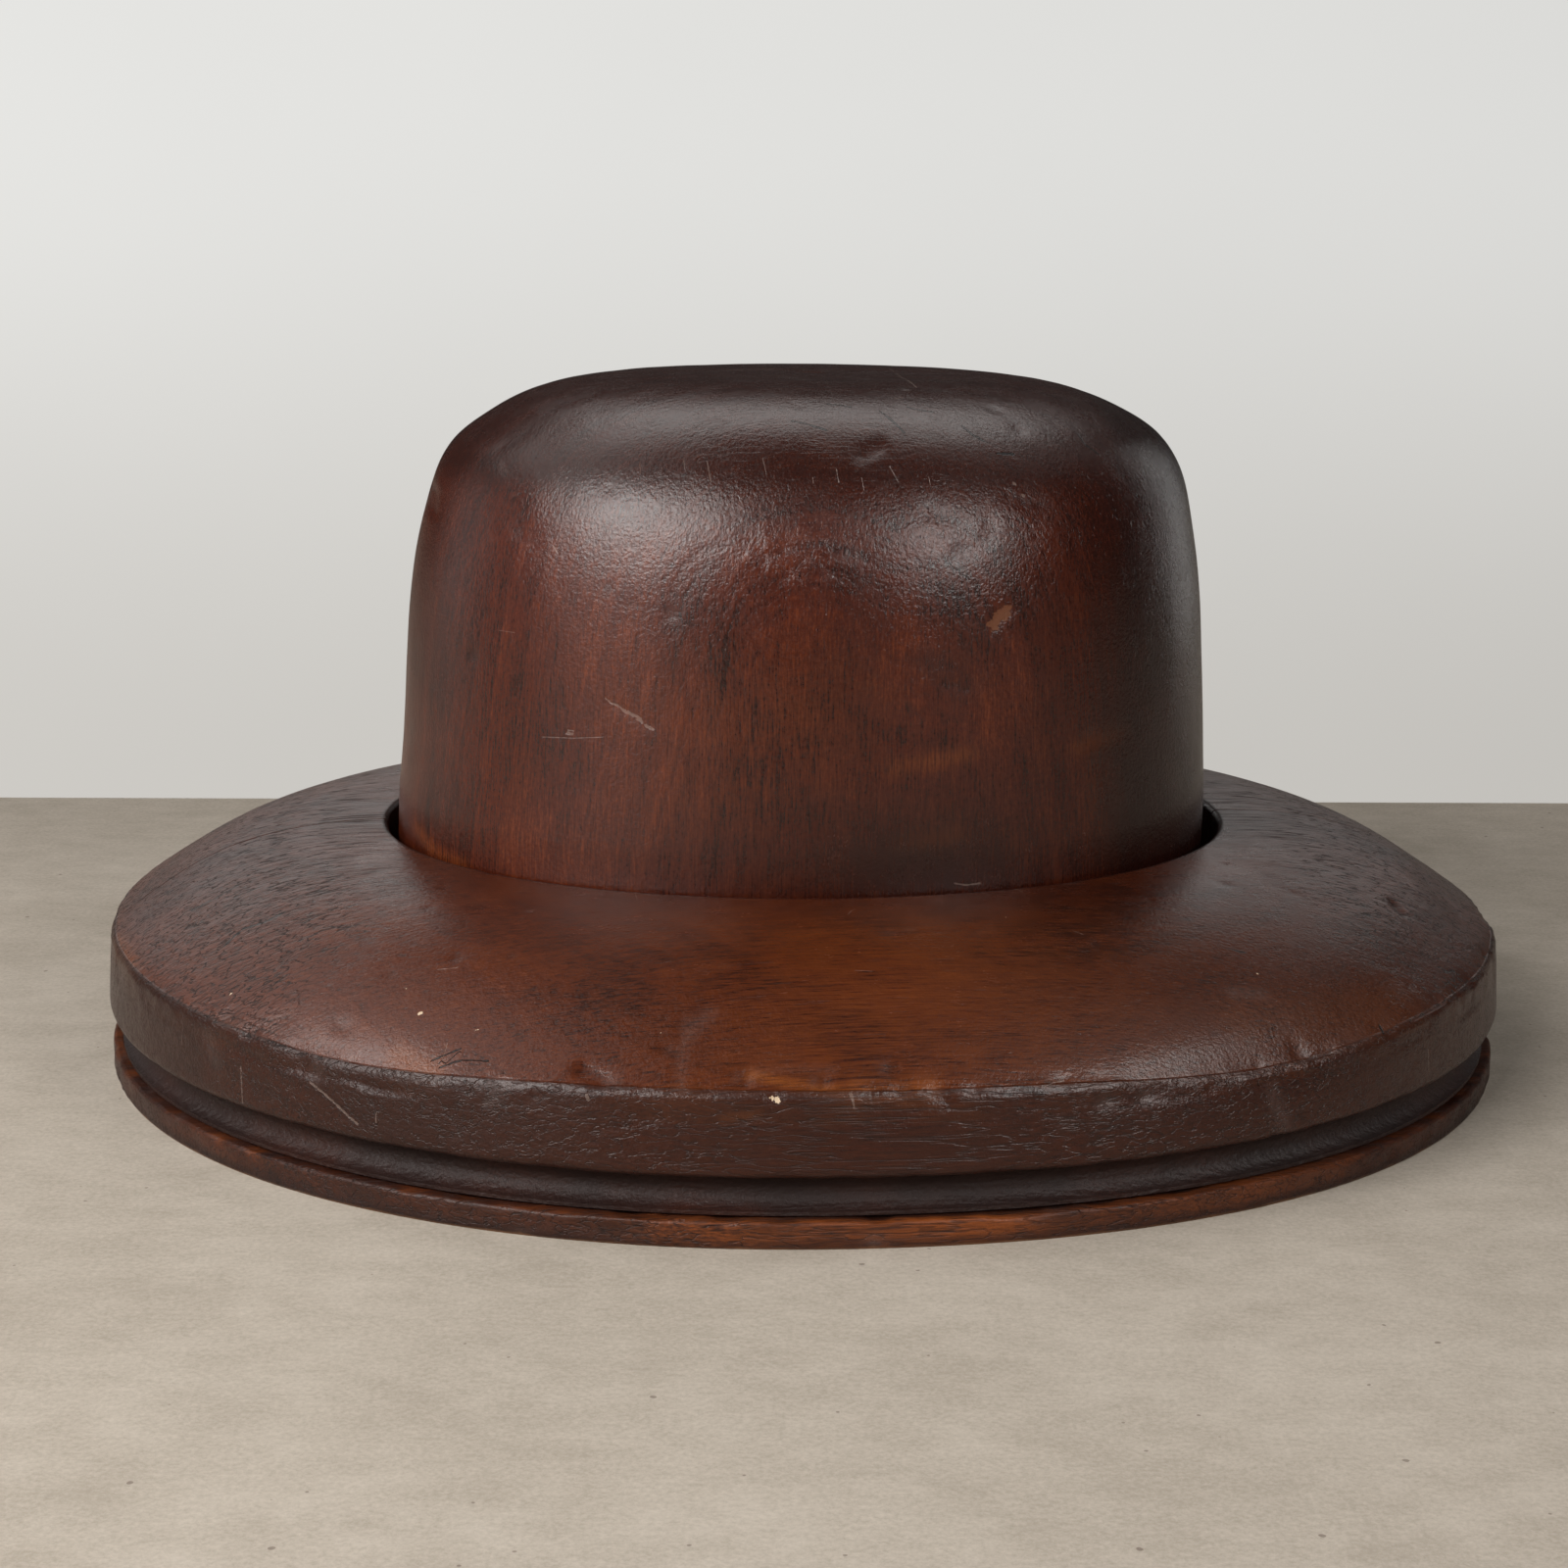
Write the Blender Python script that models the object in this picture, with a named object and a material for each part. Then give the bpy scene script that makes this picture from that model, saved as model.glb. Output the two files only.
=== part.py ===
"""Two-piece wooden hat block: an oval crown that drops into a domed brim block.

The brim block is two boards glued edge to edge, doweled across the joint, with a
cord groove swept round its wall and a thin base board screwed on underneath.
Units are metres and +Z is up. The origin is on the table, under the middle.
"""

import math

import bmesh
import bpy
from mathutils import Matrix, Vector

MM = 0.001

# Crown: the head size the felt is pulled to
CROWN_LENGTH = 202.4 * MM
CROWN_WIDTH = 163.0 * MM
CROWN_HEIGHT = 160.1 * MM
CROWN_FULLNESS = 2.06
CROWN_FOOT_CHAMFER = 1.5 * MM
CROWN_TAPER_START = 58.0 * MM
CROWN_TAPER_PER_METRE = 0.57
CROWN_SHOULDER_START = 90.0 * MM
CROWN_SHOULDER_RISE_POWER = 3.0
CROWN_SHOULDER_TURN_POWER = 5.0
CROWN_TOP_RING = 0.10

# Spindle hole, bored up into the crown and cleared through the base board
SPINDLE_DIAMETER = 25.4 * MM
SPINDLE_DEPTH = 68.0 * MM
SPINDLE_CHAMFER = 1.5 * MM
SPINDLE_BASE_CLEARANCE = 2.5 * MM

# How loosely the crown stands in the brim, and where it has slid to
HOLE_PLAY_ENDS = 3.7 * MM
HOLE_PLAY_SIDES = 3.6 * MM
CROWN_FRONT_GAP = 0.5 * MM
CROWN_SLIP_LEFT = 1.0 * MM

# Brim: its breadth past the hole, and the section of its edge
BRIM_BREADTH_ENDS = 68.9 * MM
BRIM_BREADTH_SIDES = 74.3 * MM
BRIM_FULLNESS = 2.11
BRIM_CREASE_HEIGHT = 33.0 * MM
BRIM_CREASE_INSET = 1.0 * MM
BRIM_RISE = 22.3 * MM
BRIM_DOME_POWER = 2.5
CREASE_RADIUS = 2.0 * MM
RIM_RADIUS = 1.5 * MM
HOLE_FOOT_CHAMFER = 1.0 * MM

# Cord groove, a cove cut between the wall and the base board
GROOVE_BOTTOM_STEP = 0.9 * MM
GROOVE_HEIGHT = 7.6 * MM
GROOVE_DEPTH = 6.4 * MM
GROOVE_LIP_INSET = 3.0 * MM
WALL_FOOT_RADIUS = 2.2 * MM

# Centre joint of the two brim boards
SEAM_Y = -5.0 * MM
SEAM_GAP = 0.3 * MM
DOWEL_DIAMETER = 9.5 * MM
DOWEL_LENGTH = 60.0 * MM
DOWEL_CHAMFER = 1.0 * MM
DOWEL_HEIGHT = 24.0 * MM
DOWEL_INSETS = {"outer": 22.0 * MM, "inner": 51.0 * MM}

# Base board under the brim
BASE_THICKNESS = 6.2 * MM
BASE_INSET = 0.6 * MM
BASE_TOP_RADIUS = 1.2 * MM
BASE_FOOT_CHAMFER = 0.5 * MM

# Countersunk wood screws that hold the base board
SCREW_COUNT = 8
SCREW_LENGTH = 19.0 * MM
SCREW_HEAD_DIAMETER = 8.4 * MM
SCREW_HEAD_HEIGHT = 2.6 * MM
SCREW_SHANK_DIAMETER = 4.2 * MM
SCREW_POINT_LENGTH = 5.0 * MM
SCREW_POINT_RADIUS = 0.3 * MM
SCREW_SLOT_WIDTH = 1.1 * MM
SCREW_SLOT_DEPTH = 1.0 * MM
SCREW_RECESS = 0.4 * MM
SCREW_SLOT_TURN = math.radians(37.0)

# Gap kept between pieces that touch
SEAT_GAP = 0.3 * MM
CUT_PAST = 1.0 * MM

# Mesh fineness
OVAL_SIDES = 80
ROUND_SIDES = 12
SPINDLE_SIDES = 28
COVE_STEPS = 6
FILLET_STEPS = 3
DOME_STEPS = 7
DOME_SPACING_POWER = 1.4
SHOULDER_STEPS = 12
SMOOTH_ANGLE = math.radians(32.0)
SEAM_MERGE_DISTANCE = 0.0001 * MM
HEIGHT_SEARCH_STEPS = 50

# Colour, roughness and metal of each material
FINISHES = {
    "crown_wood": ((0.085, 0.022, 0.012), 0.38, 0.0),
    "brim_front_wood": ((0.125, 0.038, 0.016), 0.42, 0.0),
    "brim_rear_wood": ((0.115, 0.036, 0.017), 0.44, 0.0),
    "base_wood": ((0.150, 0.052, 0.020), 0.55, 0.0),
    "dowel_wood": ((0.420, 0.260, 0.130), 0.65, 0.0),
    "screw_steel": ((0.160, 0.140, 0.125), 0.48, 0.9),
}

# Worked out from the sizes above
SLAB_BOTTOM = BASE_THICKNESS + SEAT_GAP
GROOVE_BOTTOM = SLAB_BOTTOM + GROOVE_BOTTOM_STEP
GROOVE_TOP = GROOVE_BOTTOM + GROOVE_HEIGHT
HOLE_HALF_LENGTH = CROWN_LENGTH / 2 + HOLE_PLAY_ENDS
HOLE_HALF_WIDTH = CROWN_WIDTH / 2 + HOLE_PLAY_SIDES
BRIM_HALF_LENGTH = HOLE_HALF_LENGTH + BRIM_BREADTH_ENDS
BRIM_HALF_WIDTH = HOLE_HALF_WIDTH + BRIM_BREADTH_SIDES
BRIM_BREADTH = (BRIM_BREADTH_ENDS + BRIM_BREADTH_SIDES) / 2
CROWN_PLACE = Vector((
    -CROWN_SLIP_LEFT,
    CROWN_FRONT_GAP - HOLE_PLAY_SIDES,
    BASE_THICKNESS + SEAT_GAP,
))


def clear_scene():
    for item in list(bpy.data.objects):
        bpy.data.objects.remove(item, do_unlink=True)


def finish_material(name):
    colour, roughness, metallic = FINISHES[name]
    material = bpy.data.materials.new(name)
    material.use_nodes = True
    shader = material.node_tree.nodes["Principled BSDF"]
    shader.inputs["Base Color"].default_value = (*colour, 1.0)
    shader.inputs["Roughness"].default_value = roughness
    shader.inputs["Metallic"].default_value = metallic
    return material


def oval_ring(half_length, half_width, fullness, z):
    """Points round a superellipse: fullness 2 is an ellipse, more is squarer."""
    power = 2.0 / fullness
    ring = []
    for step in range(OVAL_SIDES):
        angle = 2.0 * math.pi * step / OVAL_SIDES
        along, across = math.cos(angle), math.sin(angle)
        x = half_length * math.copysign(abs(along) ** power, along)
        y = half_width * math.copysign(abs(across) ** power, across)
        ring.append(Vector((x, y, z)))
    return ring


def circle_ring(radius, z, sides):
    ring = []
    for step in range(sides):
        angle = 2.0 * math.pi * step / sides
        ring.append(Vector((radius * math.cos(angle), radius * math.sin(angle), z)))
    return ring


def loft(rings, closed_section=False):
    """Skin a stack of rings from the lowest up, capped unless the section closes."""
    mesh = bmesh.new()
    loops = [[mesh.verts.new(point) for point in ring] for ring in rings]
    pairs = list(zip(loops, loops[1:]))
    if closed_section:
        pairs.append((loops[-1], loops[0]))
    else:
        mesh.faces.new(list(reversed(loops[0])))
        mesh.faces.new(loops[-1])
    for lower, upper in pairs:
        count = len(lower)
        for index in range(count):
            after = (index + 1) % count
            mesh.faces.new((lower[index], lower[after], upper[after], upper[index]))
    return mesh


def turned(profile, sides):
    """A solid of revolution from (radius, height) pairs, the lowest first."""
    return loft([circle_ring(radius, z, sides) for radius, z in profile])


def merged(meshes):
    """Several meshes as one, for a cutter that drills more than one hole."""
    whole = bmesh.new()
    for part in meshes:
        carrier = bpy.data.meshes.new("carrier")
        part.to_mesh(carrier)
        part.free()
        whole.from_mesh(carrier)
        bpy.data.meshes.remove(carrier)
    return whole


def place_object(name, mesh, material=None, place=Vector((0.0, 0.0, 0.0))):
    data = bpy.data.meshes.new(name)
    mesh.to_mesh(data)
    mesh.free()
    data.shade_smooth()
    data.set_sharp_from_angle(angle=SMOOTH_ANGLE)
    item = bpy.data.objects.new(name, data)
    item.location = place
    bpy.context.collection.objects.link(item)
    if material is None:
        item.hide_render = True
        item.display_type = "WIRE"
    else:
        data.materials.append(material)
    return item


def cut(item, cutter):
    boolean = item.modifiers.new("Cut by " + cutter.name, "BOOLEAN")
    boolean.operation = "DIFFERENCE"
    boolean.solver = "EXACT"
    boolean.object = cutter


def fillet(before, corner, after, radius):
    """Arc that rounds the corner of a section between two neighbouring points."""
    into = (before - corner).normalized()
    out = (after - corner).normalized()
    half = into.angle(out) / 2.0
    reach = min(radius / math.tan(half), (before - corner).length, (after - corner).length)
    start, end = corner + into * reach, corner + out * reach
    centre = corner + (into + out).normalized() * reach / math.cos(half)
    arc = []
    for step in range(FILLET_STEPS + 1):
        spoke = (start - centre).lerp(end - centre, step / FILLET_STEPS)
        arc.append(centre + spoke.normalized() * (start - centre).length)
    return arc


def brim_top_height(inset):
    """Height of the domed top: steep at the crease, nearly level at the hole."""
    reach = BRIM_BREADTH - BRIM_CREASE_INSET
    share = (inset - BRIM_CREASE_INSET) / reach
    return BRIM_CREASE_HEIGHT + BRIM_RISE * (1.0 - (1.0 - share) ** BRIM_DOME_POWER)


def groove_section():
    """Cove from the thin lip over the base board up to the foot of the wall."""
    middle = (GROOVE_BOTTOM + GROOVE_TOP) / 2.0
    points = []
    for step in range(COVE_STEPS + 1):
        swing = math.pi * (step / COVE_STEPS - 0.5)
        edge = GROOVE_LIP_INSET + (WALL_FOOT_RADIUS - GROOVE_LIP_INSET) * step / COVE_STEPS
        inset = edge + (GROOVE_DEPTH - edge) * math.cos(swing)
        points.append(Vector((inset, middle + GROOVE_HEIGHT / 2.0 * math.sin(swing))))
    return points


def dome_section():
    """Points over the top, closer together near the crease where it bends most."""
    points = []
    for step in range(1, DOME_STEPS + 1):
        share = (step / DOME_STEPS) ** DOME_SPACING_POWER
        inset = BRIM_CREASE_INSET + (BRIM_BREADTH - BRIM_CREASE_INSET) * share
        points.append(Vector((inset, brim_top_height(inset))))
    return points


def brim_section():
    """Half section of the slab as (inset from the outline, height) points."""
    wall_foot = Vector((0.0, GROOVE_TOP))
    crease = Vector((BRIM_CREASE_INSET, BRIM_CREASE_HEIGHT))
    groove = groove_section()
    dome = dome_section()
    rim = dome.pop()
    hole_foot = Vector((BRIM_BREADTH, SLAB_BOTTOM))
    chamfer_top = hole_foot + Vector((0.0, HOLE_FOOT_CHAMFER))
    points = [Vector((GROOVE_LIP_INSET, SLAB_BOTTOM))]
    points += groove[:-1]
    points += fillet(groove[-1], wall_foot, crease, WALL_FOOT_RADIUS)
    points += fillet(wall_foot, crease, dome[0], CREASE_RADIUS)
    points += dome
    points += fillet(dome[-1], rim, hole_foot, RIM_RADIUS)
    points += [chamfer_top, hole_foot - Vector((HOLE_FOOT_CHAMFER, 0.0))]
    return points


def brim_ring(inset, z):
    """The oval at one point of the section, between the outline and the hole."""
    share = inset / BRIM_BREADTH
    half_length = BRIM_HALF_LENGTH - BRIM_BREADTH_ENDS * share
    half_width = BRIM_HALF_WIDTH - BRIM_BREADTH_SIDES * share
    fullness = BRIM_FULLNESS + (CROWN_FULLNESS - BRIM_FULLNESS) * share
    return oval_ring(half_length, half_width, fullness, z)


def brim_half(name, side, material, cutters):
    """The slab cut at the seam: side -1 keeps the front board, +1 the rear one."""
    mesh = loft([brim_ring(*point) for point in brim_section()], closed_section=True)
    seam = Vector((0.0, SEAM_Y + side * SEAM_GAP / 2.0, 0.0))
    everything = mesh.verts[:] + mesh.edges[:] + mesh.faces[:]
    bmesh.ops.bisect_plane(
        mesh, geom=everything, plane_co=seam, plane_no=(0.0, side, 0.0),
        clear_inner=True, dist=SEAM_MERGE_DISTANCE,
    )
    open_edges = [edge for edge in mesh.edges if edge.is_boundary]
    bmesh.ops.holes_fill(mesh, edges=open_edges)
    bmesh.ops.recalc_face_normals(mesh, faces=mesh.faces[:])
    item = place_object(name, mesh, material)
    for cutter in cutters:
        cut(item, cutter)
    return item


def crown_scale(height):
    """Share of the foot's size that the crown keeps at a height above its foot."""
    taper = 1.0 - CROWN_TAPER_PER_METRE * max(height - CROWN_TAPER_START, 0.0)
    rise = (height - CROWN_SHOULDER_START) / (CROWN_HEIGHT - CROWN_SHOULDER_START)
    if rise <= 0.0:
        return taper
    left = max(1.0 - rise ** CROWN_SHOULDER_RISE_POWER, 0.0)
    return taper * left ** (1.0 / CROWN_SHOULDER_TURN_POWER)


def crown_height_at(share):
    """Height on the shoulder where the crown has turned in to a share of its size."""
    low, high = CROWN_SHOULDER_START, CROWN_HEIGHT
    for _ in range(HEIGHT_SEARCH_STEPS):
        middle = (low + high) / 2.0
        if crown_scale(middle) > share:
            low = middle
        else:
            high = middle
    return low


def crown_block(material):
    half_length, half_width = CROWN_LENGTH / 2.0, CROWN_WIDTH / 2.0

    def ring(height, inset=0.0):
        scale = crown_scale(height)
        return oval_ring(
            half_length * scale - inset, half_width * scale - inset, CROWN_FULLNESS, height
        )

    rings = [ring(0.0, CROWN_FOOT_CHAMFER)]
    middle_of_taper = (CROWN_TAPER_START + CROWN_SHOULDER_START) / 2.0
    for height in (CROWN_FOOT_CHAMFER, CROWN_TAPER_START, middle_of_taper):
        rings.append(ring(height))
    widest = crown_scale(CROWN_SHOULDER_START)
    for step in range(SHOULDER_STEPS + 1):
        share = widest - (widest - CROWN_TOP_RING) * (step / SHOULDER_STEPS) ** 2
        height = CROWN_SHOULDER_START if step == 0 else crown_height_at(share)
        rings.append(ring(height))
    return place_object("crown_block", loft(rings), material, CROWN_PLACE)


def spindle_cutters():
    """Bore for the crown, in its own frame, and a wider one for the base board."""
    radius = SPINDLE_DIAMETER / 2.0
    bore = turned([
        (radius + SPINDLE_CHAMFER + CUT_PAST, -CUT_PAST),
        (radius, SPINDLE_CHAMFER),
        (radius, SPINDLE_DEPTH),
    ], SPINDLE_SIDES)
    wide = radius + SPINDLE_BASE_CLEARANCE
    clearance = turned([
        (wide, -CUT_PAST),
        (wide, BASE_THICKNESS + CUT_PAST),
    ], SPINDLE_SIDES)
    above_base = Vector((CROWN_PLACE.x, CROWN_PLACE.y, 0.0))
    return (
        place_object("spindle_bore_cutter", bore, place=CROWN_PLACE),
        place_object("spindle_clearance_cutter", clearance, place=above_base),
    )


def base_board(material, cutters):
    def ring(inset, z):
        return brim_ring(BASE_INSET + inset, z)

    rings = [
        ring(BASE_FOOT_CHAMFER, 0.0),
        ring(0.0, BASE_FOOT_CHAMFER),
    ]
    for step in range(FILLET_STEPS + 1):
        turn = math.pi / 2.0 * step / FILLET_STEPS
        inset = BASE_TOP_RADIUS * (1.0 - math.cos(turn))
        rings.append(ring(inset, BASE_THICKNESS - BASE_TOP_RADIUS * (1.0 - math.sin(turn))))
    item = place_object("base_board", loft(rings), material)
    for cutter in cutters:
        cut(item, cutter)
    return item


def dowel_places():
    """Centre of each dowel on the seam, by name, two through each end of the brim."""
    places = {}
    for side, direction in (("left", -1.0), ("right", 1.0)):
        for place, inset in DOWEL_INSETS.items():
            x = direction * (BRIM_HALF_LENGTH - inset)
            places[f"{side}_{place}_dowel"] = Vector((x, SEAM_Y, DOWEL_HEIGHT))
    return places


def dowel_mesh(clearance):
    radius = DOWEL_DIAMETER / 2.0 + clearance
    end = DOWEL_LENGTH / 2.0 + clearance
    profile = [
        (radius - DOWEL_CHAMFER, -end),
        (radius, DOWEL_CHAMFER - end),
        (radius, end - DOWEL_CHAMFER),
        (radius - DOWEL_CHAMFER, end),
    ]
    mesh = turned(profile, ROUND_SIDES)
    bmesh.ops.rotate(mesh, verts=mesh.verts[:], matrix=Matrix.Rotation(math.pi / 2.0, 3, "X"))
    return mesh


def screw_places():
    """Points under the middle of the brim's breadth, turned half a step off the seam."""
    ring = []
    for index in range(SCREW_COUNT):
        angle = 2.0 * math.pi * (index + 0.5) / SCREW_COUNT
        x = (BRIM_HALF_LENGTH - BRIM_BREADTH_ENDS / 2.0) * math.cos(angle)
        y = (BRIM_HALF_WIDTH - BRIM_BREADTH_SIDES / 2.0) * math.sin(angle)
        ring.append(Vector((x, y, SCREW_RECESS)))
    return ring


def screw_mesh(clearance, below):
    """Screw standing on its head; below lengthens the head end of a cutter."""
    head = SCREW_HEAD_DIAMETER / 2.0 + clearance
    shank = SCREW_SHANK_DIAMETER / 2.0 + clearance
    neck = SCREW_HEAD_HEIGHT
    tip = SCREW_LENGTH + clearance
    profile = [(head, 0.0), (shank, neck), (shank, tip - SCREW_POINT_LENGTH)]
    profile.append((SCREW_POINT_RADIUS + clearance, tip))
    if below > 0.0:
        profile.insert(0, (head, -below))
    return turned(profile, ROUND_SIDES)


def screw_slot_cutter():
    mesh = bmesh.new()
    bmesh.ops.create_cube(mesh, size=1.0)
    scale = (SCREW_HEAD_DIAMETER + CUT_PAST, SCREW_SLOT_WIDTH, 2.0 * SCREW_SLOT_DEPTH)
    bmesh.ops.scale(mesh, vec=scale, verts=mesh.verts[:])
    return mesh


def base_screws(material):
    for number, place in enumerate(screw_places(), start=1):
        turn = Matrix.Rotation(SCREW_SLOT_TURN * number, 3, "Z")
        slot = screw_slot_cutter()
        bmesh.ops.rotate(slot, verts=slot.verts[:], matrix=turn)
        slot_cutter = place_object(f"screw_slot_cutter_{number}", slot, place=place)
        screw = place_object(f"base_screw_{number}", screw_mesh(0.0, 0.0), material, place)
        cut(screw, slot_cutter)


def brim_dowels(material):
    """The four pins, and one cutter that holds all of their holes."""
    holes = []
    for name, place in dowel_places().items():
        place_object(name, dowel_mesh(0.0), material, place)
        hole = dowel_mesh(SEAT_GAP)
        bmesh.ops.translate(hole, vec=place, verts=hole.verts[:])
        holes.append(hole)
    return place_object("dowel_hole_cutter", merged(holes))


def screw_hole_cutter():
    """Countersunk clearance holes, through the base board and blind in the slab."""
    holes = []
    for place in screw_places():
        hole = screw_mesh(SEAT_GAP, CUT_PAST)
        bmesh.ops.translate(hole, vec=place, verts=hole.verts[:])
        holes.append(hole)
    return place_object("screw_hole_cutter", merged(holes))


def main():
    clear_scene()
    wood = {name: finish_material(name) for name in FINISHES}
    bore_cutter, clearance_cutter = spindle_cutters()
    dowel_cutter = brim_dowels(wood["dowel_wood"])
    screw_cutter = screw_hole_cutter()
    slab_cutters = (dowel_cutter, screw_cutter)

    cut(crown_block(wood["crown_wood"]), bore_cutter)
    brim_half("brim_front_board", -1.0, wood["brim_front_wood"], slab_cutters)
    brim_half("brim_rear_board", 1.0, wood["brim_rear_wood"], slab_cutters)
    base_board(wood["base_wood"], (screw_cutter, clearance_cutter))
    base_screws(wood["screw_steel"])


main()
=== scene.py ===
"""Looks of the hat block: worn, waxed wood in soft studio light.

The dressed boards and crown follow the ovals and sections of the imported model, with
dents, chips, tool marks and a worn crease cut into their meshes. Lengths here are in
millimetres unless a name ends in _M, and meshes are written in metres.
"""

import math

import bmesh
import bpy
import numpy as np
from mathutils import Matrix, Vector


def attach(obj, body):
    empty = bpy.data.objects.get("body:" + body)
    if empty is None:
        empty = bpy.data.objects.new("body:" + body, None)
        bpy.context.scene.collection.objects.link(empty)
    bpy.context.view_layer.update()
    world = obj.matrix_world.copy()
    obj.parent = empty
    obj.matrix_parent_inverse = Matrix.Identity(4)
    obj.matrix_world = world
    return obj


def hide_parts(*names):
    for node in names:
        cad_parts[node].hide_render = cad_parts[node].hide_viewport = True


MM = 0.001

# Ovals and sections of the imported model
CROWN_LENGTH = 202.4
CROWN_WIDTH = 163
CROWN_HEIGHT = 160.1
CROWN_FULLNESS = 2.06
CROWN_FOOT_CHAMFER = 1.5
CROWN_TAPER_LEAD = 42
CROWN_TAPER_START = 58
CROWN_TAPER_PER_MM = 0.00057
CROWN_SHOULDER_START = 90
CROWN_RISE_POWER = 3
CROWN_TURN_POWER = 5
SECTION_REACH = 0.45
CROWN_PLACE = (-1, -3.1, 6.5)
CROWN_LEAN = 0.7
SPINDLE_RADIUS = 12.7
SPINDLE_DEPTH = 68
SPINDLE_CHAMFER = 1.5
SPINDLE_BASE_CLEARANCE = 2.5
BRIM_HALF_LENGTH = 173.8
BRIM_HALF_WIDTH = 159.4
BRIM_BREADTH_ENDS = 68.9
BRIM_BREADTH_SIDES = 74.3
BRIM_BREADTH = 71.6
BRIM_FULLNESS = 2.11
BRIM_CREASE_HEIGHT = 33
BRIM_CREASE_INSET = 1
BRIM_RISE = 22.3
BRIM_DOME_POWER = 2.5
CREASE_RADIUS = 4
RIM_RADIUS = 1.5
HOLE_FOOT_CHAMFER = 1
SLAB_BOTTOM = 6.5
GROOVE_BOTTOM = 7.4
GROOVE_HEIGHT = 7.6
GROOVE_DEPTH = 6.4
GROOVE_LIP_INSET = 3
WALL_FOOT_RADIUS = 2.2
FOOT_ARC_RADIUS = 2.08
SEAM_Y = -5
SEAM_GAP = 0.3
BASE_THICKNESS = 6.2
BASE_INSET = 0.6
BASE_TOP_RADIUS = 1.2
BASE_FOOT_CHAMFER = 0.5
SCREW_COUNT = 8
SCREW_HEAD_RADIUS = 4.5
SCREW_SHANK_RADIUS = 2.4
SCREW_HEAD_HEIGHT = 2.6
SCREW_RECESS = 0.4

# Camera fitted to the outlines in the photograph
BLOCK_TURN = math.radians(6.86)
CAMERA_LENS = 65.25
CAMERA_SENSOR = 36
CAMERA_PLACE_M = (-0.005332, -0.705, 0.21766)
CAMERA_PITCH = math.radians(12.421)
CAMERA_ROLL = math.radians(0.652)

TURNED = Matrix.Rotation(-BLOCK_TURN, 4, "Z")

# Stage, behind and below the block
WALL_DISTANCE_M = 0.257
WALL_TURN = math.radians(2)
WALL_FADE_M = 0.24
STAGE_SIZE_M = 8
FLOOR_SHARES = {"smear": 0.32, "cloud": 0.26, "grit": 0.42}
FLOOR_DARK = (0.385, 0.333, 0.272, 1)
FLOOR_LIGHT = (0.58, 0.515, 0.44, 1)
FLOOR_SPECK = (0.14, 0.1, 0.08, 1)
# The wall's colours are painted light: darker low down by the floor, lighter high up.
WALL_SHADED_LOW = (0.57, 0.552, 0.52, 1)
WALL_LIT_HIGH = (0.738, 0.735, 0.715, 1)

# Soft glow of the studio round the object: azimuth, elevation, reach and level
STUDIO_GLOWS = (
    (-78, 54, 32, 1.3),
    (78, 60, 26, 0.55),
    (180, 28, 16, 0.35),
    (-90, 0, 26, 0.2),
)
GLOW_CORE = 0.35
STUDIO_FILL = 0.03
STUDIO_COLOUR = (1, 0.985, 0.96, 1)
BEHIND_LEVEL = 0.75
BEHIND_COLOUR = (0.99, 0.985, 0.96, 1)

# Lamps: azimuth and elevation, then distance, width and height in metres, how bright their
# face is and which pieces reflect them. The boards light nothing: they only show.
ANYWHERE, NOWHERE = "anywhere", "nowhere"
CROWN_ALONE = ("crown_turned",)
BRIM_ALONE = ("brim_front_dressed", "brim_rear_dressed")
LAMPS = {
    "key_left": (-140, 29.5, 1.2, 0.85, 0.4, 10.6, ANYWHERE),
    "key_left_low": (-138, 9, 1.2, 0.85, 0.4, 1.3, ANYWHERE),
    "side_left": (-118, 30, 1.1, 0.6, 0.5, 1.6, NOWHERE),
    "key_right": (143, 23.5, 1.5, 0.42, 0.32, 13, ANYWHERE),
    "board_above": (4, 68, 1.3, 1.25, 0.84, 2.3, CROWN_ALONE),
    "board_right": (50, 10, 1, 0.17, 0.6, 1.9, CROWN_ALONE),
    "board_left": (-76, 8, 1, 0.42, 0.5, 0.6, CROWN_ALONE),
    "board_back_left": (-29, 20, 1, 0.72, 0.5, 0.98, BRIM_ALONE),
    "board_back_right": (26, 19, 1, 0.54, 0.44, 0.7, BRIM_ALONE),
    "board_side_left": (-104, 36, 1.1, 0.52, 0.26, 6, BRIM_ALONE),
    "board_side_right": (130, 38, 1.1, 0.6, 0.34, 8.5, BRIM_ALONE),
}
LAMP_COLOUR = (1, 0.985, 0.965)
AIM_M = Vector((0, 0, 0.08))

# Fineness of the meshes
SHARP_ANGLE = math.radians(48)
FRONT_DENSITY = 0.38
CROWN_COLUMNS = 400
FRONT_COLUMNS = 400
REAR_COLUMNS = 240
BASE_COLUMNS = 400
SCREW_COLUMNS = 28

# Screw thread and slot
THREAD_PITCH = 1.8
SLOT_SIZE = (10, 1.1, 2)
SLOT_TURN = math.radians(37)

# Where the joint of the brim boards runs: inset from the outline, and y
SEAM_WAVER = ((0, 11, 20, 31, 69, 71.6), (-12.2, -8.4, -6.3, -3.8, -0.4, -0.3))
# Where the front of the crease is worn down: x, reach along it, depth and breadth
CREASE_DROPS = ((-112, 34, 2.3, 6.5), (86, 38, 2.6, 8))
# Fullness of each shoulder: side, level, how far out, and its reach below and above
CROWN_SHOULDERS = ((1, 152.5, 3.5, 16, 7.5), (-1, 150, 1.9, 11, 5.5))
CROWN_LEFT_FLARE = 0.8

# How a lattice cell is scrambled into a value, and how far a seed shifts the lattice
PRIMES = (374761393, 668265263, 2246822519, 3266489917)
LOW_BITS = 0xFFFFFFFF
SEED_SHIFT = (3.17, 7.31, 1.93)


def unit(values):
    return np.clip(values, 0, 1)


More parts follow.
